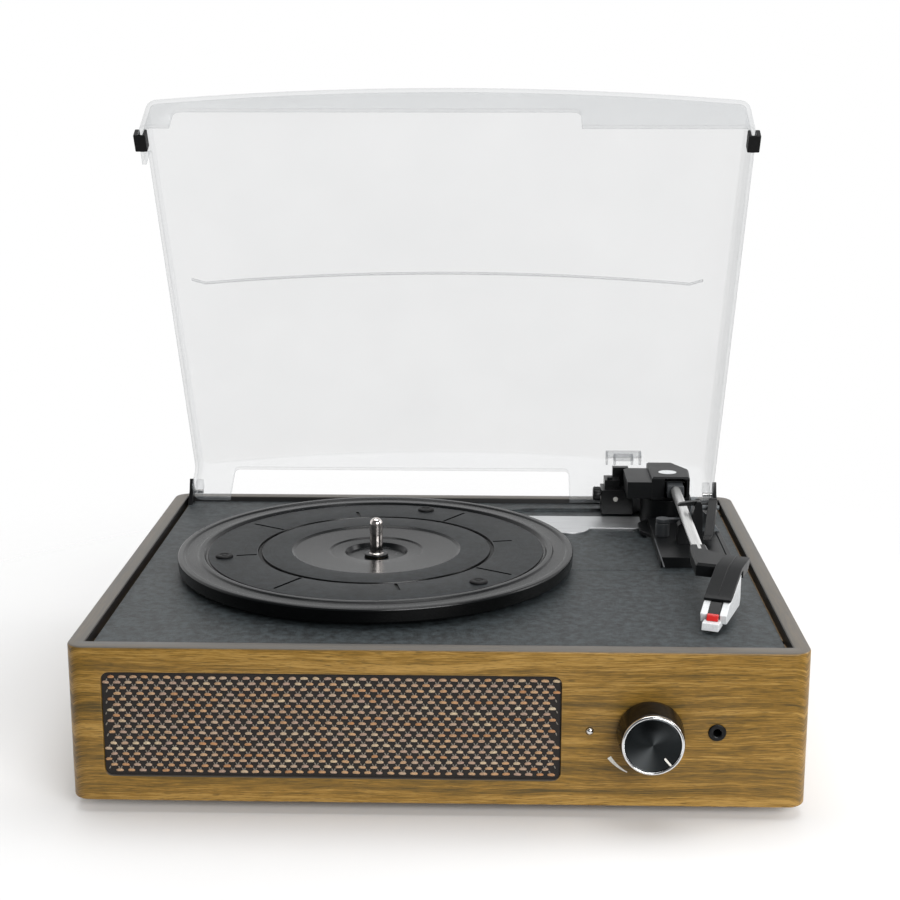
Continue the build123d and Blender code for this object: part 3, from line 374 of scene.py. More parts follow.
def metal(name, shade, roughness, centre=(0, 0, 0), axes=UP, pitch=0.25, depth=0.006,
          straight=None, **more):
    """A turned or brushed metal. A straight brush runs along the direction it names."""
    finish = Finish(name)
    if straight:
        lines = finish.noise(finish.stretched(finish.point, *straight), 1.0, 3.0, 0.65)
    else:
        lines = finish.effect("Turned Marks", Point=finish.around(centre, axes), Pitch=pitch)["Lines"]
    use = finish.effect("Handling", Point=finish.point, Roughness=roughness, Spread=0.14)
    tone = finish.between(lines, 0.25, 0.75)
    body = finish.mixed(tone, tuple(c * 0.88 for c in shade), tuple(min(1.0, c * 1.05) for c in shade))
    rough = finish.plus(use["Roughness"], finish.times(finish.minus(lines, 0.5), 0.10))
    values = {"Base Color": body, "Roughness": rough, "Metallic": 1.0}
    values.update(more)
    return finish.done(values, lines, 0.5, depth)


def veneer(settings):
    """Golden walnut veneer with olive streaks, its grain level on every side."""
    finish = Finish("Walnut Veneer")
    x, y, z = finish.split(finish.point)
    side = finish.sum("SIGN", x)
    behind = finish.minus(y, FRONT_Y)
    along = finish.plus(x, finish.times(behind, side))
    round_the_back = finish.plus(behind, finish.minus(2 * CABINET_HIGH.x, x))
    at_back = finish.sum("GREATER_THAN", y, BACK_Y - settings.corner / MM)
    along = finish.node("Mix", {0: at_back, 2: along, 3: round_the_back}, data_type="FLOAT").outputs[0]
    inward = finish.sum("MINIMUM", finish.minus(CABINET_HIGH.x, finish.sum("ABSOLUTE", x)),
                        finish.sum("MINIMUM", behind, finish.minus(BACK_Y, y)))
    across = finish.plus(z, inward)
    wood = finish.effect("Wood Fibre", Along=along, Across=across)
    tone = finish.plus(finish.times(wood["Bands"], 0.55), finish.times(wood["Fibres"], 0.45))
    dark, mid, light = settings.dark_grain, settings.mid_grain, settings.light_grain
    body = finish.ramp(tone, [(0.39, dark), (0.455, [0.5 * m + 0.5 * d for m, d in zip(mid, dark)]),
                              (0.51, mid), (0.585, light), (0.68, [c * 1.15 for c in light])])
    body = finish.mixed(finish.times(wood["Pores"], 0.60), body, dark)
    # Upward faces and the rim tops are mixed towards grey: a painted sheen, as the rim tops look at a
    # glancing angle.
    top = finish.between(finish.split(finish.node("NewGeometry").outputs["Normal"])[2], 0.35, 0.9)
    top = finish.sum("MAXIMUM", top, finish.between(inward, 6.6, 7.0))
    body = finish.mixed(finish.times(top, 0.86), body, (0.100, 0.103, 0.102))
    # The inner faces of the walls go near-black: painted shade in the gap between the deck and the rim.
    inside = finish.between(inward, 7.5, 8.1)
    body = finish.mixed(inside, body, (0.006, 0.006, 0.006))
    # Edges lighten a little: partly wear, partly a painted highlight.
    worn_and_lit_edge = finish.effect("Worn And Lit Edge", Reach=0.0009)["Mask"]
    body = finish.mixed(finish.times(worn_and_lit_edge, 0.10), body, (0.5, 0.42, 0.3))
    use = finish.effect("Handling", Point=finish.point, Roughness=0.40, Spread=0.10)
    height = finish.minus(finish.times(wood["Fibres"], 0.5), finish.times(wood["Pores"], 0.6))
    return finish.done({"Base Color": body, "Roughness": use["Roughness"], "Specular IOR Level": 0.35},
                       height, 0.35, 0.05)


def raw_board():
    """Unfinished fibre board of the inside and the bottom."""
    finish = Finish("Raw Board")
    x, y, z = finish.split(finish.point)
    wood = finish.effect("Wood Fibre", Along=x, Across=y, Depth=z)
    flakes = finish.effect("Moulded Grain", Point=finish.point, Size=1.6)
    tone = finish.plus(finish.times(wood["Fibres"], 0.4), finish.times(flakes["Shade"], 0.6))
    body = finish.ramp(tone, [(0.3, (0.19, 0.115, 0.055)), (0.5, (0.30, 0.20, 0.105)),
                              (0.7, (0.42, 0.30, 0.17))])
    use = finish.effect("Handling", Point=finish.point, Roughness=0.85, Spread=0.1)
    return finish.done({"Base Color": body, "Roughness": use["Roughness"]}, flakes["Height"], 0.6, 0.15)


def deck_skin(settings):
    """The deck's slate black, grained like fine leather cloth."""
    finish = Finish("Deck Black")
    skin = finish.effect("Moulded Grain", Point=finish.point, Size=settings.grain / MM)
    use = finish.effect("Handling", Point=finish.point, Roughness=0.50, Spread=0.10)
    low = tuple(c * 0.30 for c in settings.black)
    high = tuple(c * 2.6 for c in settings.black)
    body = finish.mixed(finish.between(skin["Shade"], 0.40, 0.62), low, high)
    body = finish.mixed(finish.times(use["Dust"], 0.10), body, (0.4, 0.41, 0.42))
    return finish.done({"Base Color": body, "Roughness": use["Roughness"], "Specular IOR Level": 0.5},
                       skin["Height"], 0.9, 0.16)


def platter_skin(settings):
    """The platter's plastic: grained flats, a polished dish and steps, and painted shade in its grooves,
    cuts and skirt.
    """
    finish = Finish("Platter Black")
    skin = finish.effect("Moulded Grain", Point=finish.point, Size=0.75)
    turned = finish.effect("Turned Marks", Point=finish.around(PLATTER_MID, UP), Pitch=0.8)
    radius = turned["Radius"]
    polish = finish.plus(finish.between(radius, 45.9, 45.2), finish.between(radius, 91.4, 91.9))
    level = finish.between(finish.split(finish.node("NewGeometry").outputs["Normal"])[2], 0.9, 0.995)
    grained = finish.times(finish.minus(1.0, polish), level)
    use = finish.effect("Handling", Point=finish.point, Roughness=0.24, Spread=0.08)
    rough = finish.plus(use["Roughness"], finish.times(grained, 0.26))
    rough = finish.plus(rough, finish.times(finish.minus(turned["Lines"], 0.5), 0.10))
    low = tuple(c * 0.4 for c in settings.black)
    high = tuple(c * 2.3 for c in settings.black)
    tone = finish.times(finish.between(skin["Shade"], 0.40, 0.62), grained)
    body = finish.mixed(tone, low, high)
    body = finish.mixed(finish.times(use["Dust"], 0.12), body, (0.4, 0.41, 0.42))
    # Surfaces more than 1.3 mm below the top and outside the dish go near-black: painted shade in the
    # grooves, cuts and skirt.
    top = PLATTER_HIGH.z
    painted_groove_shade = finish.times(finish.between(finish.split(finish.point)[2], top - 1.0, top - 1.3),
                        finish.between(radius, 46.5, 48.0))
    body = finish.mixed(painted_groove_shade, body, (0.0012, 0.0013, 0.0014))
    height = finish.plus(finish.times(skin["Height"], grained), finish.times(turned["Lines"], 0.05))
    values = {"Base Color": body, "Roughness": rough, "Specular IOR Level": 0.29}
    return finish.done(values, height, 0.8, 0.10)


def clear_plastic(settings, name="Clear Plastic", depth=1.0):
    """Clear moulded plastic with a faint veil that is denser at its edges and where it is deep."""
    finish = Finish(name)
    tint = tuple(c ** depth for c in settings.tint)
    use = finish.effect("Handling", Point=finish.point, Roughness=0.16, Spread=0.10)
    glance = finish.node("LayerWeight", {"Blend": 0.35}).outputs["Facing"]
    flow = finish.noise(finish.point, 0.02, 3.0, 0.5)
    worn_and_lit_edge = finish.effect("Worn And Lit Edge", Reach=0.0012)["Mask"]
    veil = finish.plus(settings.veil * depth, finish.times(finish.sum("POWER", glance, 2.0), 0.36))
    veil = finish.plus(veil, finish.times(finish.minus(flow, 0.5), 0.04))
    veil = finish.plus(veil, finish.times(worn_and_lit_edge, 0.22))
    body = finish.mixed(finish.between(flow, 0.3, 0.7), tuple(c * 0.985 for c in tint), tint)
    return finish.done({"Base Color": body, "Roughness": use["Roughness"], "Alpha": veil,
                        "Specular IOR Level": 0.5}, flow, 0.1, 0.05)


def stitch_yarn():
    """Spun yarn of the grille's stitches, each stitch with its own shade."""
    finish = Finish("Stitch Yarn")
    own = finish.node("Attribute", attribute_name="shade").outputs["Fac"]
    body = finish.ramp(own, [(0.0, (0.44, 0.33, 0.25)), (0.22, (0.62, 0.28, 0.10)),
                             (0.42, (0.72, 0.45, 0.24)), (0.6, (0.54, 0.37, 0.29)),
                             (0.78, (0.80, 0.62, 0.40)), (1.0, (0.90, 0.80, 0.58))])
    fibres = finish.noise(finish.stretched(finish.point, 1.1, 0.16, 0.13), 1.0, 3.0, 0.65)
    body = finish.mixed(finish.between(fibres, 0.62, 0.30), body, (0.19, 0.13, 0.09))
    use = finish.effect("Handling", Point=finish.point, Roughness=0.85, Spread=0.1)
    return finish.done({"Base Color": body, "Roughness": use["Roughness"], "Sheen Weight": 0.15},
                       fibres, 0.8, 0.12)


def ground_cloth(name, shade):
    """Dark cloth behind the stitches, with its own fine weave."""
    finish = Finish(name)
    x, _, z = finish.split(finish.point)
    weave = finish.times(finish.sum("SINE", finish.times(x, 9.0)),
                         finish.sum("SINE", finish.times(z, 9.0)))
    fuzz = finish.noise(finish.point, 3.0, 3.0, 0.6)
    body = finish.mixed(finish.between(fuzz, 0.35, 0.7), tuple(shade), tuple(c * 2.2 for c in shade))
    use = finish.effect("Handling", Point=finish.point, Roughness=0.9, Spread=0.1)
    return finish.done({"Base Color": body, "Roughness": use["Roughness"]},
                       finish.plus(weave, fuzz), 0.5, 0.08)


def circuit_board():
    """Green lacquered board with copper runs under the lacquer."""
    finish = Finish("Board Green")
    tracks = finish.node("TexVoronoi", {"Vector": finish.point, "Scale": 0.22}, feature="DISTANCE_TO_EDGE",
                         distance="EUCLIDEAN").outputs["Distance"]
    runs = finish.between(tracks, 0.10, 0.05)
    body = finish.mixed(runs, (0.010, 0.075, 0.030), (0.022, 0.14, 0.050))
    use = finish.effect("Handling", Point=finish.point, Roughness=0.35, Spread=0.1)
    return finish.done({"Base Color": body, "Roughness": use["Roughness"]}, runs, 0.4, 0.03)


# Turn of the painted highlight cones on the knob's face, in degrees.
PAINTED_CONE_ANGLE = 58.0


def knob_face(centre):
    """The knob's dark spun face, whose fine rings draw the light out into cones, with painted highlight
    cones over them.
    """
    finish = Finish("Spun Dark Face")
    turned = finish.effect("Turned Marks", Point=finish.around(centre, FORWARD), Pitch=0.12)
    use = finish.effect("Handling", Point=finish.point, Roughness=0.22, Spread=0.05)
    x, y, _ = finish.split(finish.around(centre, FORWARD))
    lean = math.radians(PAINTED_CONE_ANGLE)
    cosine = finish.over(finish.plus(finish.times(x, math.cos(lean)), finish.times(y, math.sin(lean))),
                         finish.sum("MAXIMUM", turned["Radius"], 0.2))
    # Two bright lobes painted into the colour: a painted highlight of the spun face.
    painted_cone_highlight = finish.sum("POWER", finish.sum("ABSOLUTE", cosine), 7.0)
    body = finish.mixed(painted_cone_highlight, (0.011, 0.013, 0.014), (0.090, 0.098, 0.102))
    body = finish.mixed(finish.between(turned["Lines"], 0.3, 0.7, 0.0, 0.3), body, (0.050, 0.054, 0.057))
    tangent = finish.node("Tangent", direction_type="RADIAL", axis="Y").outputs[0]
    return finish.done({"Base Color": body, "Roughness": use["Roughness"], "Metallic": 1.0,
                        "Anisotropic": 0.96, "Tangent": tangent}, turned["Lines"], 0.3, 0.004)


FINISHES = {}


def build_finishes(scene):
    """Every finish of the player, by its slot's name or its own."""
    arm, knob = scene.turntable_arm, scene.turntable_controls
    FINISHES.update(
        walnut=veneer(scene.turntable_cabinet),
        raw_wood=raw_board(),
        deck_black=deck_skin(scene.turntable_deck),
        black_plastic=moulded("Black Plastic", arm.plastic, 0.38, **{"Specular IOR Level": 0.22}),
        satin_black=moulded("Satin Black", (0.0045, 0.0048, 0.0052), 0.33, grain=0.5,
                            **{"Specular IOR Level": 0.26}),
        grey_plastic=moulded("Grey Plastic", arm.grey, 0.42, edge=1.3),
        boot_grey=moulded("Boot Grey", (0.042, 0.046, 0.050), 0.38, edge=1.4),
        platter_black=platter_skin(scene.turntable_platter),
        silver=metal("Silver Tube", (0.86, 0.86, 0.85), 0.34, straight=(0.3, 30.0, 0.3)),
        trim=metal("Brushed Trim", (0.72, 0.73, 0.74), 0.42, straight=(12.0, 0.4, 0.4), depth=0.02),
        steel=metal("Turned Steel", (0.62, 0.61, 0.60), 0.20, PLATTER_MID, UP),
        spindle=metal("Polished Spindle", (0.74, 0.69, 0.66), 0.12, straight=(8.0, 8.0, 0.5), depth=0.003),
        chrome=metal("Chrome", (0.88, 0.89, 0.90), 0.08, KNOB_MID, FORWARD, depth=0.001),
        dark_aluminium=knob_face(KNOB_MID),
        gloss_black=moulded("Gloss Black", knob.knob_black, 0.16, depth=0.004, dust=0.05,
                            **{"Specular IOR Level": 0.30}),
        brass=metal("Brass", (0.80, 0.60, 0.28), 0.28, PLATTER_MID, UP),
        motor_can=metal("Zinc Can", (0.50, 0.51, 0.52), 0.38, straight=(6.0, 6.0, 0.5)),
        rubber=moulded("Black Rubber", (0.005, 0.005, 0.0055), 0.55, grain=0.5, depth=0.05, edge=1.5,
                       **{"Specular IOR Level": 0.26}),
        cone_paper=moulded("Cone Paper", (0.030, 0.029, 0.028), 0.9, grain=0.9, depth=0.12, dust=0.3),
        yarn=stitch_yarn(),
        cloth=ground_cloth("Ground Cloth", scene.turntable_grille.ground),
        link_thread=ground_cloth("Link Thread", (0.15, 0.135, 0.115)),
        clear_cover=clear_plastic(scene.turntable_cover),
        clear_rib=clear_plastic(scene.turntable_cover, "Deep Clear Plastic", 1.7),
        white_plastic=moulded("White Plastic", (0.80, 0.82, 0.83), 0.32, edge=1.05, dust=0.2,
                              **{"Subsurface Weight": 0.0}),
        red_plastic=moulded("Red Plastic", (0.62, 0.022, 0.020), 0.30, edge=1.2),
        board_green=circuit_board(),
        component=moulded("Component Black", (0.018, 0.018, 0.020), 0.40, edge=1.6),
        heat_sink=metal("Black Anodised", (0.045, 0.045, 0.048), 0.45, straight=(0.4, 0.4, 9.0)),
        led_lens=metal("Silvered Lens", (0.80, 0.80, 0.79), 0.22, LED_MID, FORWARD),
        print_white=moulded("Printed White", knob.print_white, 0.5, depth=0.01, edge=1.0, dust=0.0),
    )


# ---- mesh work ----------------------------------------------------------------------------
def mesh_of(name, points, faces):
    """A mesh from points in millimetres, with its faces turned outward."""
    mesh = bpy.data.meshes.new(name)
    mesh.from_pydata([Vector(p) * MM for p in points], [], faces)
    work = bmesh.new()
    work.from_mesh(mesh)
    bmesh.ops.remove_doubles(work, verts=work.verts, dist=1e-7)
    bmesh.ops.recalc_face_normals(work, faces=work.faces)
    work.to_mesh(mesh)
    work.free()
    return mesh


def loft(name, rings, closed=False, caps=True):
    """A mesh through rings that have the same number of points, in order."""
    count = len(rings[0])
    points = [p for ring in rings for p in ring]
    faces = []
    for k in range(len(rings) if closed else len(rings) - 1):
        a, b = k * count, (k + 1) % len(rings) * count
        faces += [(a + i, a + (i + 1) % count, b + (i + 1) % count, b + i) for i in range(count)]
    if caps and not closed:
        faces.append(tuple(range(count))[::-1])
        faces.append(tuple(range((len(rings) - 1) * count, len(rings) * count)))
    return mesh_of(name, points, faces)


def softened(corners, radius, steps=3, closed=True):
    """A 2-D outline with its corners rounded."""
    count, path = len(corners), []
    for i, corner in enumerate(corners):
        here = Vector(corner)
        if not closed and i in (0, count - 1):
            path.append(tuple(here))
            continue
        before, after = Vector(corners[i - 1]) - here, Vector(corners[(i + 1) % count]) - here
        reach = min(radius, 0.45 * before.length, 0.45 * after.length)
        start, end = here + before.normalized() * reach, here + after.normalized() * reach
        for k in range(steps + 1):
            t = k / steps
            path.append(tuple(start * (1 - t) ** 2 + here * 2 * t * (1 - t) + end * t * t))
    return path


def turned(name, profile, origin, axes=UP, segments=64, closed=True, round_by=0.0):
    """A turned mesh from (distance along, radius) points about an axis through the origin."""
    if round_by:
        profile = softened(profile, round_by, 3, closed)
    rings = []
    for along, radius in profile:
        ring = []
        for i in range(segments):
            turn = 2 * math.pi * i / segments
            ring.append(Vector(origin) + axes[2] * along
                        + (axes[0] * math.cos(turn) + axes[1] * math.sin(turn)) * max(radius, 0.0))
        rings.append(ring)
    return loft(name, rings, closed=closed, caps=not closed)


def turned_piece(name, profile, origin, axes, segments, finish, body, slot, *nodes, round_by=0.0):
    """A turned piece with its finish, on its body, standing for the nodes it names."""
    mesh = turned(name, profile, origin, axes, segments, round_by=round_by)
    return settle(link(name, mesh, finish), body, slot, *nodes)


def rounded_box_ring(half_x, half_y, radius, steps=6):
    """Corner points round a rounded rectangle, centred on zero."""
    ring = []
    for quarter, (sx, sy) in enumerate(((1, 1), (-1, 1), (-1, -1), (1, -1))):
        for k in range(steps + 1):
            turn = math.pi / 2 * (quarter + k / steps)
            ring.append((sx * (half_x - radius) + radius * math.cos(turn),
                         sy * (half_y - radius) + radius * math.sin(turn)))
    return ring


def link(name, mesh, finish):
    """A new object in the scene, with its finish and smooth shading."""
    mesh.materials.clear()
    mesh.materials.append(FINISHES[finish])
    mesh.shade_smooth()
    mesh.set_sharp_from_angle(angle=SHARP_ANGLE)
    piece = bpy.data.objects.new(name, mesh)
    bpy.context.scene.collection.objects.link(piece)
    return piece


def settle(piece, body, slot, *stands_for):
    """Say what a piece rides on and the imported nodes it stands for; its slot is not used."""
    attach(piece, body)
    if stands_for:
        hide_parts(*stands_for)
    return piece


def broken_edges(piece, width, segments=3, angle=40.0):
    """Rounded edges, with the flat faces kept flat in shading."""
    bevel = piece.modifiers.new("Edges", "BEVEL")
    bevel.width = width * MM
    bevel.segments = segments
    bevel.limit_method = "ANGLE"
    bevel.angle_limit = math.radians(angle)
    bevel.miter_outer = "MITER_ARC"
    normals = piece.modifiers.new("Flats", "WEIGHTED_NORMAL")
    normals.keep_sharp = True
    normals.weight = 60
    for edge in piece.data.edges:
        edge.use_edge_sharp = False
    return piece


def carve(piece, *cutters):
    """Cut the cutters out of a piece for good, and remove them."""
    for cutter in cutters:
        tool = bpy.data.objects.new("cutter", cutter)
        bpy.context.scene.collection.objects.link(tool)
        step = piece.modifiers.new("Cut", "BOOLEAN")
        step.object = tool
        step.solver = "EXACT"
        keep_result(piece)
        bpy.data.objects.remove(tool)
    return piece


def keep_result(piece):
    """Make the modifiers' result the piece's own mesh."""
    bpy.context.view_layer.update()
    ready = piece.evaluated_get(bpy.context.evaluated_depsgraph_get())
    mesh = bpy.data.meshes.new_from_object(ready)
    piece.modifiers.clear()
    piece.data = mesh
    mesh.set_sharp_from_angle(angle=SHARP_ANGLE)


def refined(node, finish, body, slot, width=0.35):
    """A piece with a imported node's shape and properly rounded edges, which stands for it."""
    mesh = frame["nodes"][node].data.copy()
    work = bmesh.new()
    work.from_mesh(mesh)
    bmesh.ops.remove_doubles(work, verts=work.verts, dist=2e-6)
    bmesh.ops.dissolve_limit(work, angle_limit=math.radians(0.6), verts=work.verts, edges=work.edges)
    bmesh.ops.recalc_face_normals(work, faces=work.faces)
    work.to_mesh(mesh)
    work.free()
    piece = link(node + "_finished", mesh, finish)
    broken_edges(piece, width)
    return settle(piece, body, slot, node)


def dress(finish, *nodes):
    """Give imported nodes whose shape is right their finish."""
    for node in nodes:
        slots = frame["nodes"][node].data.materials
        if not len(slots):
            slots.append(FINISHES[finish])
        for k in range(len(slots)):
            slots[k] = FINISHES[finish]


def prism(name, outline, origin, axes, low, high):
    """A straight bar with the outline as its section, from low to high along the third axis."""
    return loft(name, [[Vector(origin) + axes[0] * u + axes[1] * v + axes[2] * w for u, v in outline]
                       for w in (low, high)])


def box_ring(half_u, half_v):
    """The four corners of a plain rectangle."""
    return [(half_u, half_v), (-half_u, half_v), (-half_u, -half_v), (half_u, -half_v)]


# ---- the cabinet --------------------------------------------------------------------------
ROUND_OPENINGS = ((1.9, LED_MID), (5.0, KNOB_MID), (3.3, JACK_MID))
GRILLE_GAP = 0.25
GRILLE_CORNER = 4.0
LIP = 0.5


def opening_cutter(half_x, half_z, corner, x, z, steps=6):
    """A cutter through the front board, flared at the face for a softened lip."""
    rings = []
    for depth, flare in ((-2.0, LIP), (0.0, LIP), (0.12, 0.24 * LIP), (0.35, 0.05), (0.6, 0.0), (12.0, 0.0)):
        ring = rounded_box_ring(half_x + flare, half_z + flare, corner + flare - 1e-3, steps)
        rings.append([Vector((x + u, FRONT_Y + depth, z + v)) for u, v in ring])
    return loft("cutter", rings)


def build_cabinet(scene):
    """The seamless veneered cabinet, with its openings."""
    settings = scene.turntable_cabinet
    wall, corner, edge = settings.wall / MM, settings.corner / MM, settings.edge / MM
    low, high = CABINET_LOW.z, CABINET_HIGH.z
    profile = [(wall, low), (edge, low)]
    profile += [(edge * (1 - math.sin(a)), low + edge * (1 - math.cos(a))) for a in (0.4, 0.8, 1.2)]
    profile += [(0, low + edge), (0, high - edge)]
    profile += [(edge * (1 - math.cos(a)), high - edge * (1 - math.sin(a))) for a in (0.4, 0.8, 1.2)]
    profile += [(edge, high), (wall - 0.5, high), (wall - 0.15, high - 0.12), (wall, high - 0.5)]
    half = (CABINET_HIGH - CABINET_LOW) / 2
    mid = (CABINET_HIGH + CABINET_LOW) / 2
    rings = []
    for inset, z in profile:
        ring = rounded_box_ring(half.x - inset, half.y - inset, max(corner - inset, 0.5), 10)
        rings.append([Vector((mid.x + u, mid.y + v, z)) for u, v in ring])
    cabinet = link("veneered_cabinet", loft("veneered_cabinet", rings, closed=True), "walnut")
    grille = (GRILLE_HIGH - GRILLE_LOW) / 2
    rear_low, rear_high = span("rear_panel")
    rear_mid, rear_half = (rear_low + rear_high) / 2, (rear_high - rear_low) / 2
    carve(cabinet, opening_cutter(grille.x + GRILLE_GAP, grille.z + GRILLE_GAP, GRILLE_CORNER,
                         GRILLE_MID.x, GRILLE_MID.z),
          *(opening_cutter(radius, radius, radius, mid.x, mid.z, 8) for radius, mid in ROUND_OPENINGS),
          prism("cutter", box_ring(rear_half.x - 4, rear_half.z - 4), (rear_mid.x, BACK_Y, rear_mid.z),
                BACKWARD, -12.0, 2.0))
    settle(cabinet, "cabinet", "walnut", "cabinet_shell")


# ---- the grille ---------------------------------------------------------------------------
def tube_points(path, radii, normal, sides=5):
    """Rings round a short path; each radius is (outward, sideways)."""
    rings = []
    for i, here in enumerate(path):
        ahead = (path[min(i + 1, len(path) - 1)] - path[max(i - 1, 0)]).normalized()
        side = ahead.cross(normal).normalized()
        out, wide = radii[i]
        rings.append([here + normal * out * math.cos(t) + side * wide * math.sin(t)
                      for t in (2 * math.pi * k / sides for k in range(sides))])
    return rings


def gather(points, faces, rings, owners=None, owner=0.0):
    """Add a closed run of rings to a shared list of points and faces."""
    start, count = len(points), len(rings[0])
    for ring in rings:
        points.extend(ring)
    if owners is not None:
        owners.extend([owner] * (count * len(rings)))
    for k in range(len(rings) - 1):
        a, b = start + k * count, start + (k + 1) * count
        faces += [(a + i, a + (i + 1) % count, b + (i + 1) % count, b + i) for i in range(count)]
    faces.append(tuple(start + i for i in reversed(range(count))))
    faces.append(tuple(start + (len(rings) - 1) * count + i for i in range(count)))


def build_grille(scene):
    """The speaker cloth: a stretched ground with rows of yarn stitches over it."""
    settings = scene.turntable_grille
    row_pitch, pitch = settings.row_pitch / MM, settings.stitch_pitch / MM
    half = (GRILLE_HIGH - GRILLE_LOW) / 2
    face_y = GRILLE_LOW.y
    columns, lines = 108, 26
    points = []
    for j in range(lines + 1):
        for i in range(columns + 1):
            x, z = half.x * (2 * i / columns - 1), half.z * (2 * j / lines - 1)
            points.append((GRILLE_MID.x + x, face_y + 0.42 + 0.08 * math.sin(x * 1.9) * math.sin(z * 2.3),
                           GRILLE_MID.z + z))
    faces = [(j * (columns + 1) + i, j * (columns + 1) + i + 1, (j + 1) * (columns + 1) + i + 1,
              (j + 1) * (columns + 1) + i) for j in range(lines) for i in range(columns)]
    ground = link("grille_ground", mesh_of("grille_ground", points, faces), "cloth")

    draw = random.Random(11)
    normal = Vector((0, -1, 0))
    points, faces, shades = [], [], []
    thread_points, thread_faces = [], []
    rows = int(2 * half.z / row_pitch)
    first = GRILLE_MID.z - (rows - 1) * row_pitch / 2
    for row in range(rows):
        z = first + row * row_pitch
        run = draw.random()
        drift = 0.9 * math.sin(row * 0.9)
        count = int(2 * half.x / pitch) + 1
        for k in range(count):
            x = -half.x + (k + 0.5 * (row % 2) + 0.25) * pitch + 0.5 * math.sin(k * 0.23 + row * 0.5)
            if abs(x) > half.x - 1.7:
                continue
            if k % 7 == 0:
                run = 0.45 * run + 0.55 * draw.random()
            tilt = draw.uniform(-0.14, 0.14)
            centre = Vector((GRILLE_MID.x + x, face_y + 0.42, z + 0.12 * math.sin(k * 0.4 + drift)))
            reach = 1.72 * draw.uniform(0.90, 1.08)
            path, radii = [], []
            for u in (-1.0, -0.86, -0.5, 0.0, 0.5, 0.86, 1.0):
                swell = math.sqrt(max(0.0, 1 - abs(u) ** 3.2))
                path.append(centre + Vector((u * reach, 0.28 * u * u, tilt * u - 0.34 * u * u)))
                radii.append((0.62 * (0.35 + 0.65 * swell), 0.76 * (0.26 + 0.74 * swell)))
            gather(points, faces, tube_points(path, radii, normal, 8), shades,
                   min(1.0, max(0.0, 0.55 * run + 0.45 * draw.random())))
            for way in (-1, 1):
                if row == 0 or abs(x + way * 0.5 * pitch) > half.x - 0.6:
                    continue
                start = centre + Vector((way * (reach - 0.1), 0.30, -0.45))
                end = centre + Vector((way * 0.50 * pitch - way * 0.25, 0.10, -row_pitch + 0.50))
                gather(thread_points, thread_faces,
                       tube_points([start, start.lerp(end, 0.5) + normal * 0.12, end],
                                   [(0.24, 0.33)] * 3, normal, 5))
    stitch_mesh = mesh_of("grille_stitches", points, faces)
    shade = stitch_mesh.attributes.new("shade", "FLOAT", "POINT")
    shade.data.foreach_set("value", shades)
    stitches = link("grille_stitches", stitch_mesh, "yarn")
    threads = link("grille_threads", mesh_of("grille_threads", thread_points, thread_faces), "link_thread")
    for piece in (stitches, threads):
        settle(piece, "cabinet", "cloth")
    settle(ground, "cabinet", "cloth", "grille_cloth")


# ---- front controls -----------------------------------------------------------------------
def arc_band(inner, outer, start, end, thin, thick, origin, steps=20):
    """A flat printed arc that widens from its first end to its second."""
    points, faces = [], []
    for k in range(steps + 1):
        t = k / steps
        turn = math.radians(start + (end - start) * t)
        middle_r, half = (inner + outer) / 2, (thin + (thick - thin) * t) / 2
        for depth in (0.0, 0.05):
            for r in (middle_r - half, middle_r + half):
                points.append(Vector(origin) + FORWARD[0] * r * math.cos(turn)
                              + FORWARD[1] * r * math.sin(turn) + FORWARD[2] * depth)
    for k in range(steps):
        a, b = 4 * k, 4 * k + 4
        faces += [(a + 2, a + 3, b + 3, b + 2), (a, b, b + 1, a + 1), (a, a + 2, b + 2, b),
                  (a + 1, b + 1, b + 3, a + 3)]
    faces += [(0, 1, 3, 2), (4 * steps, 4 * steps + 2, 4 * steps + 3, 4 * steps + 1)]
    return points, faces


POINTER_TURN = -49


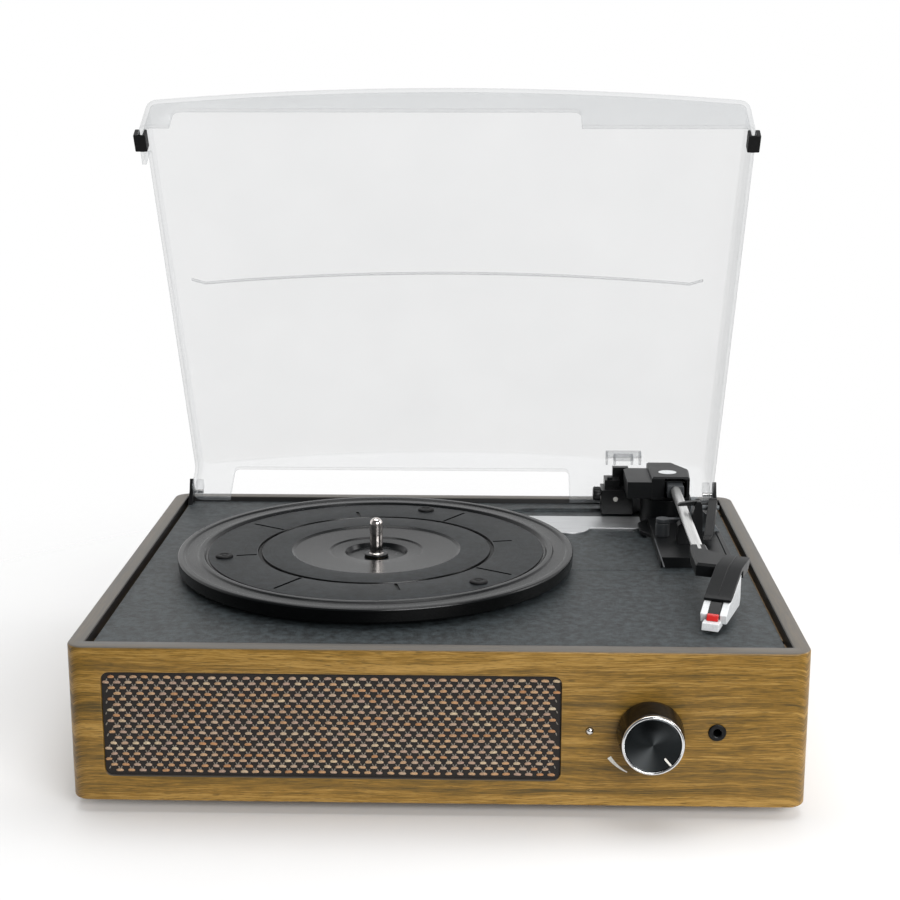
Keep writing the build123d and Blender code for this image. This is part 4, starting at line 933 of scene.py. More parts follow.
def build_controls():
    """The volume knob, the lamp, the headphone socket and their printed marks."""
    face = Vector((KNOB_MID.x, FRONT_Y, KNOB_MID.z))
    reach = FRONT_Y - span("knob_ring")[0].y
    radius = (span("knob_body")[1].x - span("knob_body")[0].x) / 2
    seat = reach - 1.6
    skirt = [(0.7, 3.0), (0.7, radius - 0.5), (1.3, radius), (4.0, radius), (seat, radius - 1.0),
             (seat, 0.01), (9, 0.01), (9, 3.0)]
    turned_piece("knob_skirt", skirt, face, FORWARD, 128, "gloss_black", "volume_knob", "gloss_black",
                 "knob_body", round_by=0.5)
    bezel = [(seat, 13.0), (seat, 14.6), (reach - 0.5, 14.5), (reach, 13.9), (reach, 13.5),
             (reach - 0.5, 13.0)]
    turned_piece("knob_bezel", bezel, face, FORWARD, 160, "chrome", "volume_knob", "chrome", "knob_ring",
                 round_by=0.3)
    cap = [(seat, 0.01), (seat, 12.9), (reach - 0.75, 12.9), (reach - 0.55, 12.5), (reach - 0.95, 0.01)]
    turned_piece("knob_face", cap, face, FORWARD, 160, "dark_aluminium", "volume_knob", "dark_aluminium",
                 "knob_cap")
    turn = math.radians(POINTER_TURN)
    along = FORWARD[0] * math.cos(turn) + FORWARD[1] * math.sin(turn)
    sideways = FORWARD[1] * math.cos(turn) - FORWARD[0] * math.sin(turn)
    pointer = prism("knob_pointer", softened(box_ring(2.3, 0.5), 0.3), face + along * 10.5,
                    (along, sideways, FORWARD[2]), reach - 1.2, reach - 0.5)
    settle(link("knob_pointer", pointer, "print_white"), "volume_knob", "white_plastic")

    points, faces = arc_band(22.0, 23.8, 243.5, 214.5, 0.5, 2.0, face)
    settle(link("switch_arc", mesh_of("switch_arc", points, faces), "print_white"), "cabinet",
           "white_plastic")
    lamp = Vector((LED_MID.x, FRONT_Y, LED_MID.z))
    dome = [(-16, 0.01), (-16, 1.75), (0.0, 1.75), (0.45, 1.62), (0.85, 1.28), (1.12, 0.8), (1.24, 0.4),
            (1.28, 0.01)]
    turned_piece("lamp_dome", dome, lamp, FORWARD, 48, "led_lens", "cabinet", "led_lens", "led_lens")
    socket = Vector((JACK_MID.x, FRONT_Y, JACK_MID.z))
    sleeve = [(-22, 1.8), (-22, 3.2), (0.02, 3.2), (0.02, 4.2), (0.5, 4.2), (0.88, 3.8), (0.9, 2.5),
              (0.55, 1.9), (0.1, 1.8)]
    turned_piece("headphone_sleeve", sleeve, socket, FORWARD, 64, "satin_black", "cabinet",
                 "black_plastic", "headphone_jack", round_by=0.2)


# ---- the deck -----------------------------------------------------------------------------
def build_deck():
    """The grained deck, its pocket and the bright strip in it."""
    refined("deck_plate", "deck_black", "cabinet", "deck_black", 0.35)
    refined("trim_strip", "trim", "cabinet", "silver", 0.2)


# ---- the platter --------------------------------------------------------------------------
PLATTER_STEPS = [
    (-5.2, 6.0), (-5.2, 16.0), (-2.7, 17.2), (-2.6, 24.8), (-1.9, 25.8), (-1.9, 44.6), (-0.9, 46.2),
    (-0.9, 62.3), (-2.4, 62.6), (-2.4, 64.5), (-0.9, 64.8), (-0.9, 91.3), (-1.9, 91.6), (-1.7, 92.6),
    (-0.1, 93.8), (0, 94.6), (0, 96.4), (-0.8, 97.2), (-0.8, 103.4), (-0.1, 104.2), (0, 104.8),
    (0, 107.0), (-0.3, 107.6), (-1.0, 107.9), (-6.9, 107.5), (-7.7, 107.0), (-7.7, 105.4), (-3.6, 105.0),
    (-3.6, 62.0), (-8.7, 62.0), (-8.7, 59.6), (-3.8, 59.6), (-4.3, 44.0), (-4.9, 20.0), (-7.2, 18.5),
    (-7.2, 10.0), (-8.9, 10.0), (-8.9, 6.0), ]
SLOT_START, SLOT_TURN, SLOT_DEPTH = 65.4, 12.6, 1.6


def build_platter(scene):
    """The turned platter with its cuts, its pads, the spindle and the drive."""
    top = Vector((PLATTER_MID.x, PLATTER_MID.y, PLATTER_HIGH.z))
    steps = turned("turned_platter", PLATTER_STEPS, top, UP, 240, round_by=0.22)
    dish = link("turned_platter", steps, "platter_black")
    width = scene.turntable_platter.slot_width / MM
    cutters = []
    for k in range(8):
        length = 22.0 if k % 2 else 11.0
        turn = math.radians(SLOT_TURN + 45 * k)
        along = Vector((math.cos(turn), math.sin(turn), 0))
        axes = (along, Vector((-along.y, along.x, 0)), UP[2])
        cutters.append(prism("cutter", softened(box_ring(length / 2, width / 2), 0.6),
                             top + along * (SLOT_START + length / 2), axes, -SLOT_DEPTH, 2.0))
    carve(dish, *cutters)
    settle(dish, "platter", "platter_black", "platter")

    pad_ring, pad_turn = 83.0, 73.2
    rings_points, rings_faces = [], []
    for k in range(3):
        turn = math.radians(pad_turn + 120 * k)
        spot = top + Vector((pad_ring * math.cos(turn), pad_ring * math.sin(turn), -0.9))
        pad = turned("pad", [(0, 0.01), (0, 4.7), (0.9, 4.7), (1.3, 4.1), (1.3, 2.6), (0.95, 2.3),
                             (0.95, 1.3), (1.25, 1.05), (1.25, 0.01)], spot, UP, 40, round_by=0.2)
        start = len(rings_points)
        rings_points += [v.co / MM for v in pad.vertices]
        rings_faces += [tuple(start + i for i in p.vertices) for p in pad.polygons]
    settle(link("platter_rubber_pads", mesh_of("platter_rubber_pads", rings_points, rings_faces), "rubber"),
           "platter", "rubber", "platter_pads")

    pin = [(-24, 0.01), (-24, 4.0), (-3.6, 4.0), (-3.2, 3.55), (12.9, 3.55), (13.9, 3.42), (14.8, 3.0),
           (15.6, 2.3), (16.1, 1.4), (16.36, 0.6), (16.4, 0.01)]
    turned_piece("polished_spindle", pin, top, UP, 64, "spindle", "cabinet", "steel", "spindle")
    clip = [(-4.9, 4.0), (-4.9, 6.5), (-3.7, 6.5), (-3.7, 4.0)]
    turned_piece("spindle_ring", clip, top, UP, 48, "satin_black", "cabinet", "black_plastic",
                 "spindle_clip", round_by=0.35)
    dress("brass", "platter_bush", "motor_pulley")
    dress("black_plastic", "spindle_bearing", "motor_bracket")
    dress("rubber", "drive_belt")


# ---- tonearm base -------------------------------------------------------------------------
LEVER_LEAN = 0.22


def build_arm_base(scene):
    """The moulded base beside the platter, its posts, rests, lever and switches."""
    edge = scene.turntable_arm.edge / MM
    for node, finish, width in (("arm_base", "black_plastic", edge), ("arm_rest", "black_plastic", edge),
            ("switch_block", "satin_black", edge), ("turret_housing", "black_plastic", 1.4 * edge),
            ("turret_base", "black_plastic", 0.5 * edge)):
        body = "turret" if node.startswith("turret") else "cabinet"
        refined(node, finish, body, "black_plastic", width)
    refined("cue_bracket", "grey_plastic", "cabinet", "grey_plastic", 0.5)
    refined("lift_guide", "boot_grey", "cabinet", "grey_plastic", 0.3)
    refined("lift_bar", "boot_grey", "cue_lifter", "grey_plastic", 0.3)
    lever = refined("cue_lever", "satin_black", "cue_lever", "black_plastic", 0.5)
    pivot_y = span("cue_lever")[1].y - 3.4
    for point in lever.data.vertices:
        point.co.x -= LEVER_LEAN * max(0.0, pivot_y * MM - point.co.y)
    refined("arm_latch", "satin_black", "arm_latch", "black_plastic", 0.3)
    refined("autostop_switch", "black_plastic", "autostop_slide", "black_plastic", 0.3)
    build_speed_knob()
    low, high = span("turret_housing")
    wing = 14.6
    spot = Vector(((low.x + wing + high.x) / 2 - 1.6, low.y + 15.2, high.z))
    label = [(5.4 * math.cos(t), 4.6 * math.sin(t)) for t in (2 * math.pi * k / 40 for k in range(40))]
    plate = link("pivot_label", prism("pivot_label", label, spot, UP, -0.3, 0.10), "white_plastic")
    settle(plate, "turret", "white_plastic")
    switch_low = span("switch_block")[0]
    turned_piece("speed_mark", [(0.0, 0.01), (0.0, 1.5), (0.12, 1.4), (0.14, 0.01)],
                 (switch_low.x + 8.5, switch_low.y, switch_low.z + 9.5), FORWARD, 32, "print_white",
                 "cabinet", "white_plastic")
    base_low = span("arm_base")[0]
    path = [(base_low.x + 5.6, base_low.y + 56.0), (base_low.x + 5.6, base_low.y + 1.0)]
    rail_spot = Vector((path[0][0], (path[0][1] + path[1][1]) / 2, DECK_Z + 6.0))
    rail = prism("platform_edge", box_ring(0.35, (path[0][1] - path[1][1]) / 2), rail_spot, UP, -0.3, 0.25)
    settle(broken_edges(link("platform_edge", rail, "boot_grey"), 0.1, 2), "cabinet", "grey_plastic")


def build_speed_knob():
    """The small ribbed speed knob on its stem."""
    low, high = span("speed_knob")
    centre = Vector((low.x, (low.y + high.y) / 2, (low.z + high.z) / 2))
    radius, rings = (high.y - low.y) / 2, []
    for along, scale, ribbed in ((0.0, 0.0, 0), (0.0, 0.74, 0), (0.25, 0.88, 0), (0.8, 0.97, 1),
                                 (4.0, 0.97, 1), (4.5, 0.90, 0), (4.6, 0.75, 0), (4.6, 0.32, 0),
                                 (8.6, 0.32, 0), (8.6, 0.0, 0)):
        ring = []
        for i in range(96):
            turn = 2 * math.pi * i / 96
            r = radius * scale * (1 - 0.045 * ribbed * (0.5 + 0.5 * math.cos(24 * turn)))
            ring.append(centre + ACROSS[2] * along + ACROSS[0] * r * math.cos(turn)
                        + ACROSS[1] * r * math.sin(turn))
        rings.append(ring)
    settle(link("ribbed_speed_knob", loft("ribbed_speed_knob", rings, caps=False), "satin_black"),
           "speed_selector", "black_plastic", "speed_knob")


# ---- tonearm ------------------------------------------------------------------------------
def build_tonearm(scene):
    """The tube, its boot, the bent shell and the pickup."""
    edge = scene.turntable_arm.edge / MM
    for node, finish, slot, width in (
            ("arm_boot", "boot_grey", "grey_plastic", 0.3),
            ("arm_elbow", "black_plastic", "black_plastic", edge),
            ("headshell", "black_plastic", "black_plastic", 0.4),
            ("cartridge", "white_plastic", "white_plastic", 0.45),
            ("stylus_guard", "white_plastic", "white_plastic", 0.4),
            ("stylus_holder", "satin_black", "black_plastic", 0.25),
            ("stylus_block", "red_plastic", "red_plastic", 0.25),
            ("arm_carrier", "black_plastic", "black_plastic", edge)):
        refined(node, finish, "tonearm", slot, width)
    low, high = span("arm_tube")
    radius = (high.x - low.x) / 2
    rear = Vector(((low.x + high.x) / 2, high.y, high.z))
    front = Vector(((low.x + high.x) / 2, low.y, low.z))
    slope = math.atan2((high.z - low.z) - 2 * radius, high.y - low.y)
    along = Vector((0, -math.cos(slope), -math.sin(slope)))
    across = Vector((0, -math.sin(slope), math.cos(slope)))
    start = Vector((rear.x, rear.y, rear.z - radius))
    length = (front - rear).length - 0.2
    tube = [(0.1, 2.3), (0.1, radius - 0.1), (0.3, radius), (length - 0.3, radius),
            (length - 0.1, radius - 0.1), (length - 0.1, 2.3)]
    turned_piece("silver_tube", tube, start, (UP[0], across, along), 64, "silver", "tonearm", "silver",
                 "arm_tube")
    dress("steel", "arm_pivot_pin")
    build_shell_detail()


SHELL_SKEW = 20.0


def build_shell_detail():
    """The raised line down the shell's middle."""
    shell = frame["nodes"]["headshell"].data
    points = [v.co / MM for v in shell.vertices]
    skew = math.radians(SHELL_SKEW)
    right = Vector((math.cos(skew), -math.sin(skew), 0))
    ahead = Vector((-math.sin(skew), -math.cos(skew), 0))
    side = [p.dot(right) for p in points]
    centre_line = (max(side) + min(side)) / 2
    reach = [p.dot(ahead) for p in points]
    first = min(reach)
    top_at = {}
    for p in points:
        key = round(p.dot(ahead) - first, 0)
        top_at[key] = max(top_at.get(key, -1e9), p.z)
    stops = sorted(top_at)
    ridge = [stops[0] + 0.6, 19.0, 41.0]

    def top(distance):
        below = max(s for s in stops if s <= distance + 0.6)
        above = min((s for s in stops if s >= distance - 0.6), default=below)
        part = 0.0 if above == below else (distance - below) / (above - below)
        return top_at[below] * (1 - part) + top_at[above] * part

    rings = []
    for distance in ridge:
        base = right * centre_line + ahead * (first + distance)
        base.z = top(distance)
        rings.append([base + right * u + Vector((0, 0, w)) for u, w in
                      ((0.35, -0.4), (0.35, 0.06), (0.12, 0.2), (-0.12, 0.2), (-0.35, 0.06), (-0.35, -0.4))])
    line = link("shell_line", loft("shell_line", rings), "satin_black")
    settle(line, "tonearm", "black_plastic")


# ---- dust cover ---------------------------------------------------------------------------
COVER_W, COVER_L = 323.6, 268.0
COVER_REAR_H, COVER_FRONT_H, COVER_CROWN = 33.0, 27.0, 13.5
COVER_TAPER = 1.0
HINGE_TO_REAR, HINGE_TO_RIM = 2.4, 5.4
CUT_H = 16.5
REAR_Y, RIM_Z = HINGE.y + HINGE_TO_REAR, HINGE.z - HINGE_TO_RIM
COVER_FRONT_Y = REAR_Y - COVER_L


def cover_half(y):
    """Half the cover's width at this distance from its hinge."""
    return COVER_W / 2 - COVER_TAPER * (REAR_Y - y) / COVER_L


def cover_top(x, y):
    """Height of the arched panel over the rim."""
    side = COVER_REAR_H + (COVER_FRONT_H - COVER_REAR_H) * (REAR_Y - y) / COVER_L
    return side + COVER_CROWN * (1 - min(1.0, abs(x) / cover_half(y)) ** 2)


def cover_outline(inset, corner, side_steps=22):
    """Points round the cover, this far inside its walls."""
    half_y = COVER_L / 2 - inset
    mid_y = REAR_Y - COVER_L / 2
    corner = max(corner - inset, 0.4)
    ring = []
    corners = ((1, 1), (-1, 1), (-1, -1), (1, -1))
    for quarter, (sx, sy) in enumerate(corners):
        for k in range(7):
            turn = math.pi / 2 * (quarter + k / 6)
            y = sy * (half_y - corner) + corner * math.sin(turn) + mid_y
            half_x = cover_half(y) - inset
            ring.append((sx * (half_x - corner) + corner * math.cos(turn), y))
        nx, ny = corners[(quarter + 1) % 4]
        start = ring[-1]
        end_turn = math.pi / 2 * (quarter + 1)
        y = ny * (half_y - corner) + corner * math.sin(end_turn) + mid_y
        end = (nx * (cover_half(y) - inset - corner) + corner * math.cos(end_turn), y)
        for k in range(1, side_steps):
            t = k / side_steps
            ring.append((start[0] + (end[0] - start[0]) * t, start[1] + (end[1] - start[1]) * t))
    return ring


def swung_open(mesh):
    """Turn a mesh modelled shut to the open position about the hinge."""
    turn = Matrix.Rotation(OPEN_ANGLE, 4, "X")
    about = Matrix.Translation(HINGE * MM) @ turn @ Matrix.Translation(-HINGE * MM)
    mesh.transform(about)
    return mesh


def cover_shell(edge, thick):
    """The cover's closed, walled mesh before its cut-outs."""
    corner = 6.0
    outer = [[(x, y, RIM_Z) for x, y in cover_outline(0, corner)]]
    for k in range(7):
        turn = math.pi / 2 * k / 6
        inset = edge * (1 - math.cos(turn))
        outer.append([(x, y, RIM_Z + cover_top(x, y) - edge * (1 - math.sin(turn)))
                      for x, y in cover_outline(inset, corner)])
    for inset in (14.0, 30.0, 55.0, 85.0, 115.0, 132.0):
        outer.append([(x, y, RIM_Z + cover_top(x, y)) for x, y in cover_outline(inset, corner)])
    inner = []
    small = edge - thick
    for inset in (132.0, 115.0, 85.0, 55.0, 30.0, 14.0):
        inner.append([(x, y, RIM_Z + cover_top(x, y) - thick) for x, y in cover_outline(inset, corner)])
    for k in range(6, -1, -1):
        turn = math.pi / 2 * k / 6
        inset = thick + small * (1 - math.cos(turn))
        inner.append([(x, y, RIM_Z + cover_top(x, y) - thick - small * (1 - math.sin(turn)))
                      for x, y in cover_outline(inset, corner)])
    inner.append([(x, y, RIM_Z) for x, y in cover_outline(thick, corner)])
    return loft("clear_cover", outer[::-1] + inner[::-1])


def build_cover(scene):
    """The clear hinged cover, with its cut-outs, ribs, bosses and bumpers."""
    settings = scene.turntable_cover
    edge, thick = settings.edge / MM, settings.thickness / MM
    cover = link("clear_cover", cover_shell(edge, thick), "clear_cover")
    side_axes = (Vector((0, -1, 0)), UP[2], Vector((-1, 0, 0)))
    front = prism("cutter", rounded_box_ring(107.3, CUT_H, 4.0), (-36.7, COVER_FRONT_Y, RIM_Z), FORWARD,
                  -8.0, 3.0)
    left = prism("cutter", rounded_box_ring(COVER_L / 2 - 18, CUT_H, 4.0),
                 (-COVER_W / 2, REAR_Y - COVER_L / 2 + 6, RIM_Z), side_axes, -7.0, 3.0)
    rear = prism("cutter", rounded_box_ring(106.2, COVER_REAR_H - 2 * thick, 3.0), (-32.75, REAR_Y, RIM_Z),
                 BACKWARD, -(thick + 2.4), 3.0)
    carve(cover, front, left, rear)
    swung_open(cover.data)
    settle(cover, "dust_cover", "clear_cover", "dust_cover")

    def clear_piece(name, mesh, width=0.4, finish="clear_cover"):
        piece = link(name, swung_open(mesh), finish)
        broken_edges(piece, width, 2)
        return settle(piece, "dust_cover", "clear_cover")

    for side, word in ((-1, "left"), (1, "right")):
        spot = Vector((side * (COVER_W / 2 - 3.4), REAR_Y - 5.3, RIM_Z))
        clear_piece("hinge_boss_" + word, prism("boss", box_ring(2.2, 3.4), spot, UP, 0.4, 10.2), 0.6)
    rib_x, rib_y, rib_height = 108.5, REAR_Y - thick, 6.0
    for name, half_u, deep in (("outer", 10.5, 6.5), ("inner", 5.5, 4.0)):
        top = RIM_Z + cover_top(rib_x, rib_y) - thick + 0.4
        for word, centre, u, v in (("left", (rib_x - half_u, rib_y - deep / 2), 0.7, deep / 2),
                                   ("right", (rib_x + half_u, rib_y - deep / 2), 0.7, deep / 2),
                                   ("front", (rib_x, rib_y - deep), half_u + 0.7, 0.7)):
            label = f"pocket_rib_{name}_{word}"
            bar = prism(label, box_ring(u, v), (*centre, 0), UP, top - rib_height, top)
            clear_piece(label, bar, 0.25, "clear_rib")
    ridge_y = REAR_Y - 145.0
    rings = []
    for k in range(41):
        x = -150.0 + 296.0 * k / 40
        curl = 3.4 * max(0.0, (abs(x + 2.0) - 141.0) / 7.0) ** 2
        base = RIM_Z + cover_top(x, ridge_y) - thick
        rings.append([Vector((x, ridge_y - curl + u, base + w)) for u, w in
                      ((0.9, 0.3), (0.55, -0.6), (0.0, -0.85), (-0.55, -0.6), (-0.9, 0.3))])
    clear_piece("cover_ridge", loft("cover_ridge", rings), 0.1)
    refined("cover_bumpers", "rubber", "dust_cover", "rubber", 0.5)
    refined("hinge_posts", "satin_black", "cabinet", "black_plastic", 0.4)
    dress("steel", "hinge_pins")


# ---- back and underside -------------------------------------------------------------------
def build_back():
    """The rear panel with its sockets, the bottom board, its screws and the feet."""
    refined("rear_panel", "black_plastic", "cabinet", "black_plastic", 0.4)
    inlet = middle("dc_inlet")
    face = Vector((inlet.x, BACK_Y, inlet.z))
    body = [(-12, 0.01), (-12, 5.2), (2.2, 5.2), (2.6, 4.8), (2.6, 2.75), (-4, 2.75), (-4, 2.55),
            (-9, 2.55), (-9, 0.65), (-5, 0.65), (-4.6, 0.01)]
    turned_piece("power_socket", body, face, BACKWARD, 56, "satin_black", "cabinet", "black_plastic",
                 "dc_inlet", round_by=0.15)
    low, high = span("line_outputs")
    half = (high.z - low.z) / 2
    sleeve = [(-8, 1.7), (-8, 5.2), (1.9, 5.2), (2.4, 4.8), (2.4, 4.15), (10.4, 4.15), (10.8, 3.75),
              (10.8, 3.2), (3.0, 3.2), (3.0, 1.7)]
    insert = [(2.6, 1.72), (2.6, 3.15), (9.8, 3.15), (9.8, 1.9), (9.2, 1.72)]
    for x, shade, word in ((low.x + half, "white_plastic", "left"), (high.x - half, "red_plastic", "right")):
        spot = Vector((x, BACK_Y, (low.z + high.z) / 2))
        turned_piece("line_socket_" + word, sleeve, spot, BACKWARD, 56, "brass", "cabinet", "brass",
                     "line_outputs", round_by=0.2)
        turned_piece("line_insert_" + word, insert, spot, BACKWARD, 48, shade, "cabinet", shade,
                     round_by=0.15)
    foot_low, foot_high = span("feet")
    radius = 10.0
    number = 0
    for x in (foot_low.x + radius, foot_high.x - radius):
        for y in (foot_low.y + radius, foot_high.y - radius):
            number += 1
            foot = [(0, 3.4), (0, radius - 1), (0.8, radius - 0.2), (7.2, radius), (7.2, 0.01),
                    (3.2, 0.01), (3.2, 3.4)]
            turned_piece(f"rubber_foot_{number}", foot, (x, y, 0), UP, 64, "rubber", "cabinet", "rubber",
                         "feet", round_by=0.6)
            screw_head(f"foot_screw_{number}", (x, y, 1.2), UP)
    screws = frame["nodes"]["case_screws"].data
    upright = [v.co / MM for v in screws.vertices if v.co.z < 9.0 * MM and v.co.z > 4.0 * MM]
    spots = sorted({(round(sum_x, 0), round(sum_y, 0)) for sum_x, sum_y in
                    ((math.copysign(159.0, p.x), p.y) for p in upright)})
    rows = sorted({y for _, y in spots})
    for number, (x, y) in enumerate(((x, y) for x in (-159.0, 159.0)
                                     for y in (rows[0] + 3.0, rows[-1] - 3.0)), 1):
        screw_head(f"base_screw_{number}", (x, y, CABINET_LOW.z + 0.1), UP)
    panel_low, panel_high = span("rear_panel")
    for number, x in enumerate((panel_low.x + 3.5, panel_high.x - 3.5), 1):
        spot = (x, panel_high.y + 1.2, middle("rear_panel").z + 11.0)
        screw_head(f"rear_screw_{number}", spot, FORWARD)
    dress("raw_wood", "bottom_panel")


def screw_head(name, spot, axes):
    """A cross-head screw's head, whose face looks back along the axis."""
    head = link(name, turned(name, [(0.25, 0.01), (0.05, 1.3), (0.35, 2.1), (1.0, 2.35), (1.15, 2.35),
                                    (1.15, 0.01)], spot, axes, 36), "steel")
    bars = [prism("cutter", box_ring(a, b), spot, axes, -1.0, 0.75) for a, b in ((1.3, 0.26), (0.26, 1.3))]
    carve(head, *bars)
    settle(head, "cabinet", "steel", "case_screws")


# ---- inside -------------------------------------------------------------------------------
def build_inside():
    """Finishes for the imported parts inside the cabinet."""
    for finish, nodes in {
            "raw_wood": ("frame_blocks", "speaker_baffle"), "motor_can": ("motor", "speaker_drivers"),
            "cone_paper": ("speaker_cones",), "board_green": ("circuit_boards",),
            "component": ("board_components",), "heat_sink": ("heat_sink",),
            "black_plastic": ("volume_pot",), "steel": ("knob_shaft",)}.items():
        dress(finish, *nodes)


# ---- stage --------------------------------------------------------------------------------
CAMERA_SPOT = (0.02642, -0.87464, 0.34865)
CAMERA_DOWN, CAMERA_TURN = 13.111, 1.582
CAMERA_LENS, CAMERA_SENSOR = 66.107, 36.0


def build_stage(scene):
    """Pale floor that fades into white, soft lights and the camera."""
    settings = scene.turntable_stage
    finish = Finish("Pale Floor")
    radius = finish.effect("Turned Marks", Point=finish.point, Pitch=40.0)["Radius"]
    fade = finish.between(radius, 560.0, 140.0)
    blot = finish.noise(finish.point, 0.004, 3.0)
    shaded = tuple(c * 0.995 for c in settings.floor)
    body = finish.mixed(finish.between(blot, 0.3, 0.7), shaded, settings.floor)
    FINISHES["floor"] = finish.done({"Base Color": body, "Roughness": 0.75, "Alpha": fade,
                                     "Specular IOR Level": 0.2})
    rings = [[(r * math.cos(t), r * math.sin(t), 0.0) for t in (2 * math.pi * k / 96 for k in range(96))]
             for r in (2400.0, 1200.0, 500.0, 100.0)]
    floor = link("floor", loft("floor", rings, caps=False), "floor")
    work = bmesh.new()
    work.from_mesh(floor.data)
    bmesh.ops.contextual_create(work, geom=[e for e in work.edges if e.is_boundary
                                            and e.verts[0].co.length < 200 * MM])
    for each in work.faces:
        if each.normal.z < 0:
            each.normal_flip()
    work.to_mesh(floor.data)
    work.free()

    world = bpy.data.worlds.new("Studio")
    scene.world = world
    world.use_nodes = True
    world.node_tree.nodes.clear()
    bench = Bench(world.node_tree)
    way = bench.split(bench.node("TexCoord").outputs["Generated"])
    tone = bench.between(way[1], -0.35, 0.30, 0.14, 1.0)
    tone = bench.times(tone, bench.between(way[2], 0.40, 0.95, 1.0, 0.40))
    tone = bench.times(tone, settings.light)
    seen = bench.node("LightPath").outputs["Is Camera Ray"]
    strength = bench.node("Mix", {0: seen, 2: tone, 3: 1.0}, data_type="FLOAT").outputs[0]
    light = bench.node("Background", {"Color": (1.0, 1.0, 1.0, 1.0), "Strength": strength})
    bench.node("OutputWorld", {"Surface": light.outputs[0]})

    def softbox(name, spot, aim, width, height, power):
        lamp = bpy.data.lights.new(name, "AREA")
        lamp.shape, lamp.size, lamp.size_y, lamp.energy = "RECTANGLE", width, height, power * settings.light
        holder = bpy.data.objects.new(name, lamp)
        scene.collection.objects.link(holder)
        holder.location = spot
        holder.rotation_euler = (Vector(aim) - Vector(spot)).to_track_quat("-Z", "Y").to_euler()
        holder.visible_camera = False

    softbox("overhead_softbox", (0.05, 0.15, 1.7), (0, 0, 0.05), 1.5, 1.1, 15.5)
    softbox("front_softbox", (0.75, -1.45, 0.80), (0.05, 0, 0.04), 1.1, 0.7, 22.0)
    softbox("side_softbox", (1.5, 0.2, 0.7), (0, 0, 0.05), 0.5, 0.9, 6.0)

    lens = bpy.data.cameras.new("player_camera")
    lens.lens, lens.sensor_width = CAMERA_LENS, CAMERA_SENSOR
    camera = bpy.data.objects.new("player_camera", lens)
    scene.collection.objects.link(camera)
    camera.location = CAMERA_SPOT
    camera.rotation_euler = (math.radians(90 - CAMERA_DOWN), 0, math.radians(CAMERA_TURN))
    scene.camera = camera
    scene.view_settings.view_transform = "Standard"
    scene.view_settings.look = "None"


# ---- operators and panel ------------------------------------------------------------------
class TURNTABLE_OT_stage(bpy.types.Operator):
    """Lay the pale floor, set the soft lights and place the camera"""
    bl_idname = "turntable.stage"
    bl_label = "Stage"

    def execute(self, context):
        build_stage(context.scene)
        return {"FINISHED"}


class TURNTABLE_OT_finishes(bpy.types.Operator):
    """Mix the shared effects and every finish of the player"""
    bl_idname = "turntable.finishes"
    bl_label = "Finishes"

    def execute(self, context):
        build_shared_effects()
        build_finishes(context.scene)
        return {"FINISHED"}


class TURNTABLE_OT_cabinet(bpy.types.Operator):
    """Build the veneered cabinet with its openings"""
    bl_idname = "turntable.cabinet"
    bl_label = "Cabinet"

    def execute(self, context):
        build_cabinet(context.scene)
        return {"FINISHED"}


class TURNTABLE_OT_grille(bpy.types.Operator):
    """Weave the speaker cloth"""
    bl_idname = "turntable.grille"
    bl_label = "Grille Cloth"

    def execute(self, context):
        build_grille(context.scene)
        return {"FINISHED"}


class TURNTABLE_OT_controls(bpy.types.Operator):
    """Turn the volume knob, the lamp and the headphone socket"""
    bl_idname = "turntable.controls"
    bl_label = "Front Controls"

    def execute(self, context):
        build_controls()
        return {"FINISHED"}


class TURNTABLE_OT_deck(bpy.types.Operator):
    """Build the grained deck and its bright strip"""
    bl_idname = "turntable.deck"
    bl_label = "Deck"

    def execute(self, context):
        build_deck()
        return {"FINISHED"}


class TURNTABLE_OT_platter(bpy.types.Operator):
    """Turn the platter, its pads and the spindle"""
    bl_idname = "turntable.platter"
    bl_label = "Platter"

    def execute(self, context):
        build_platter(context.scene)
        return {"FINISHED"}


class TURNTABLE_OT_arm_base(bpy.types.Operator):
    """Build the tonearm's base, rest, lift, lever and switches"""
    bl_idname = "turntable.arm_base"
    bl_label = "Tonearm Base"

    def execute(self, context):
        build_arm_base(context.scene)
        return {"FINISHED"}


class TURNTABLE_OT_tonearm(bpy.types.Operator):
    """Build the tonearm with its shell and pickup"""
    bl_idname = "turntable.tonearm"
    bl_label = "Tonearm"

    def execute(self, context):
        build_tonearm(context.scene)
        return {"FINISHED"}


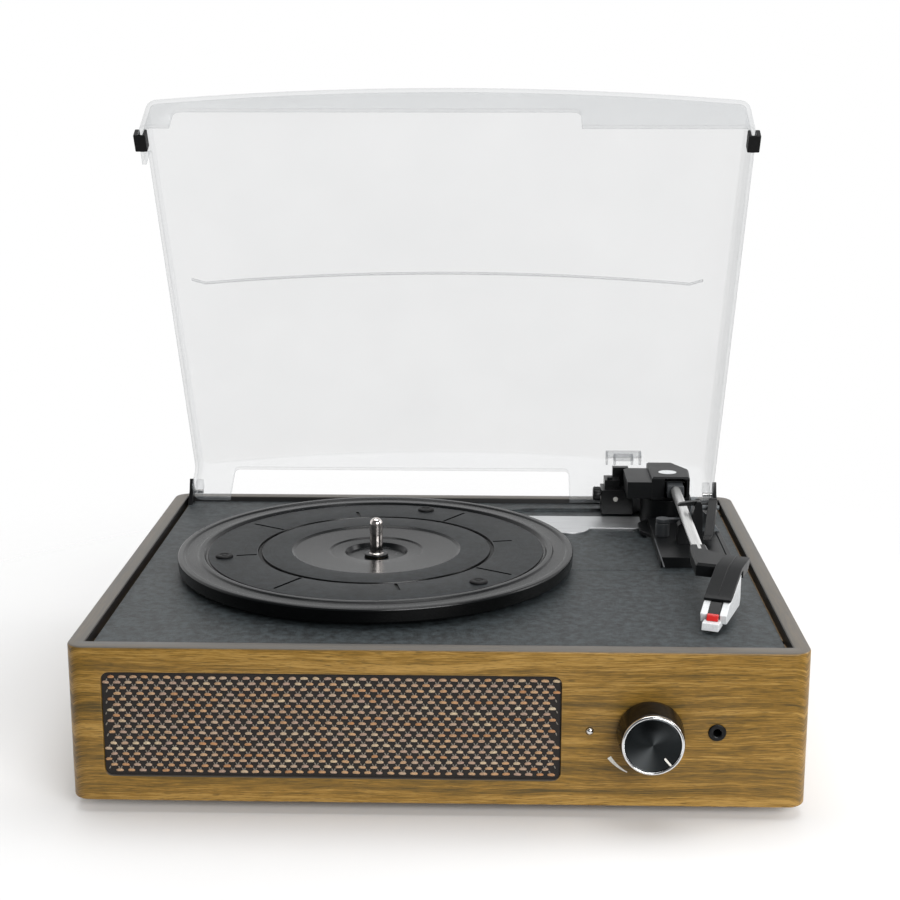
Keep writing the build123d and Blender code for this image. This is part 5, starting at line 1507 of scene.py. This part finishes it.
class TURNTABLE_OT_cover(bpy.types.Operator):
    """Mould the clear dust cover"""
    bl_idname = "turntable.cover"
    bl_label = "Dust Cover"

    def execute(self, context):
        build_cover(context.scene)
        return {"FINISHED"}


class TURNTABLE_OT_back(bpy.types.Operator):
    """Build the rear panel, its sockets, the screws and the feet"""
    bl_idname = "turntable.back"
    bl_label = "Back and Underside"

    def execute(self, context):
        build_back()
        return {"FINISHED"}


class TURNTABLE_OT_inside(bpy.types.Operator):
    """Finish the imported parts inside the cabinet"""
    bl_idname = "turntable.inside"
    bl_label = "Inside"

    def execute(self, context):
        build_inside()
        return {"FINISHED"}


OPERATORS = (TURNTABLE_OT_finishes, TURNTABLE_OT_stage, TURNTABLE_OT_cabinet, TURNTABLE_OT_grille,
             TURNTABLE_OT_controls, TURNTABLE_OT_deck, TURNTABLE_OT_platter, TURNTABLE_OT_arm_base,
             TURNTABLE_OT_tonearm, TURNTABLE_OT_cover, TURNTABLE_OT_back, TURNTABLE_OT_inside)


class TURNTABLE_PT_panel(bpy.types.Panel):
    """Builders and settings of the record player"""
    bl_label = "Turntable"
    bl_space_type = "VIEW_3D"
    bl_region_type = "UI"
    bl_category = "Turntable"

    def draw(self, context):
        for operator in OPERATORS:
            self.layout.operator(operator.bl_idname)
        for name in SETTINGS:
            settings = getattr(context.scene, name)
            group = self.layout.box()
            group.label(text=name.replace("turntable_", "").title())
            for key in settings.__annotations__:
                group.prop(settings, key)


def register():
    for kind in (*SETTINGS.values(), *OPERATORS, TURNTABLE_PT_panel):
        bpy.utils.register_class(kind)
    for name, kind in SETTINGS.items():
        setattr(bpy.types.Scene, name, bpy.props.PointerProperty(type=kind))


def unregister():
    for name in SETTINGS:
        delattr(bpy.types.Scene, name)
    for kind in (TURNTABLE_PT_panel, *reversed(OPERATORS), *reversed(SETTINGS.values())):
        bpy.utils.unregister_class(kind)


def main():
    """Build everything in order."""
    register()
    for operator in OPERATORS:
        group, _, word = operator.bl_idname.partition(".")
        getattr(getattr(bpy.ops, group), word)()


if __name__ == "__main__":
    main()
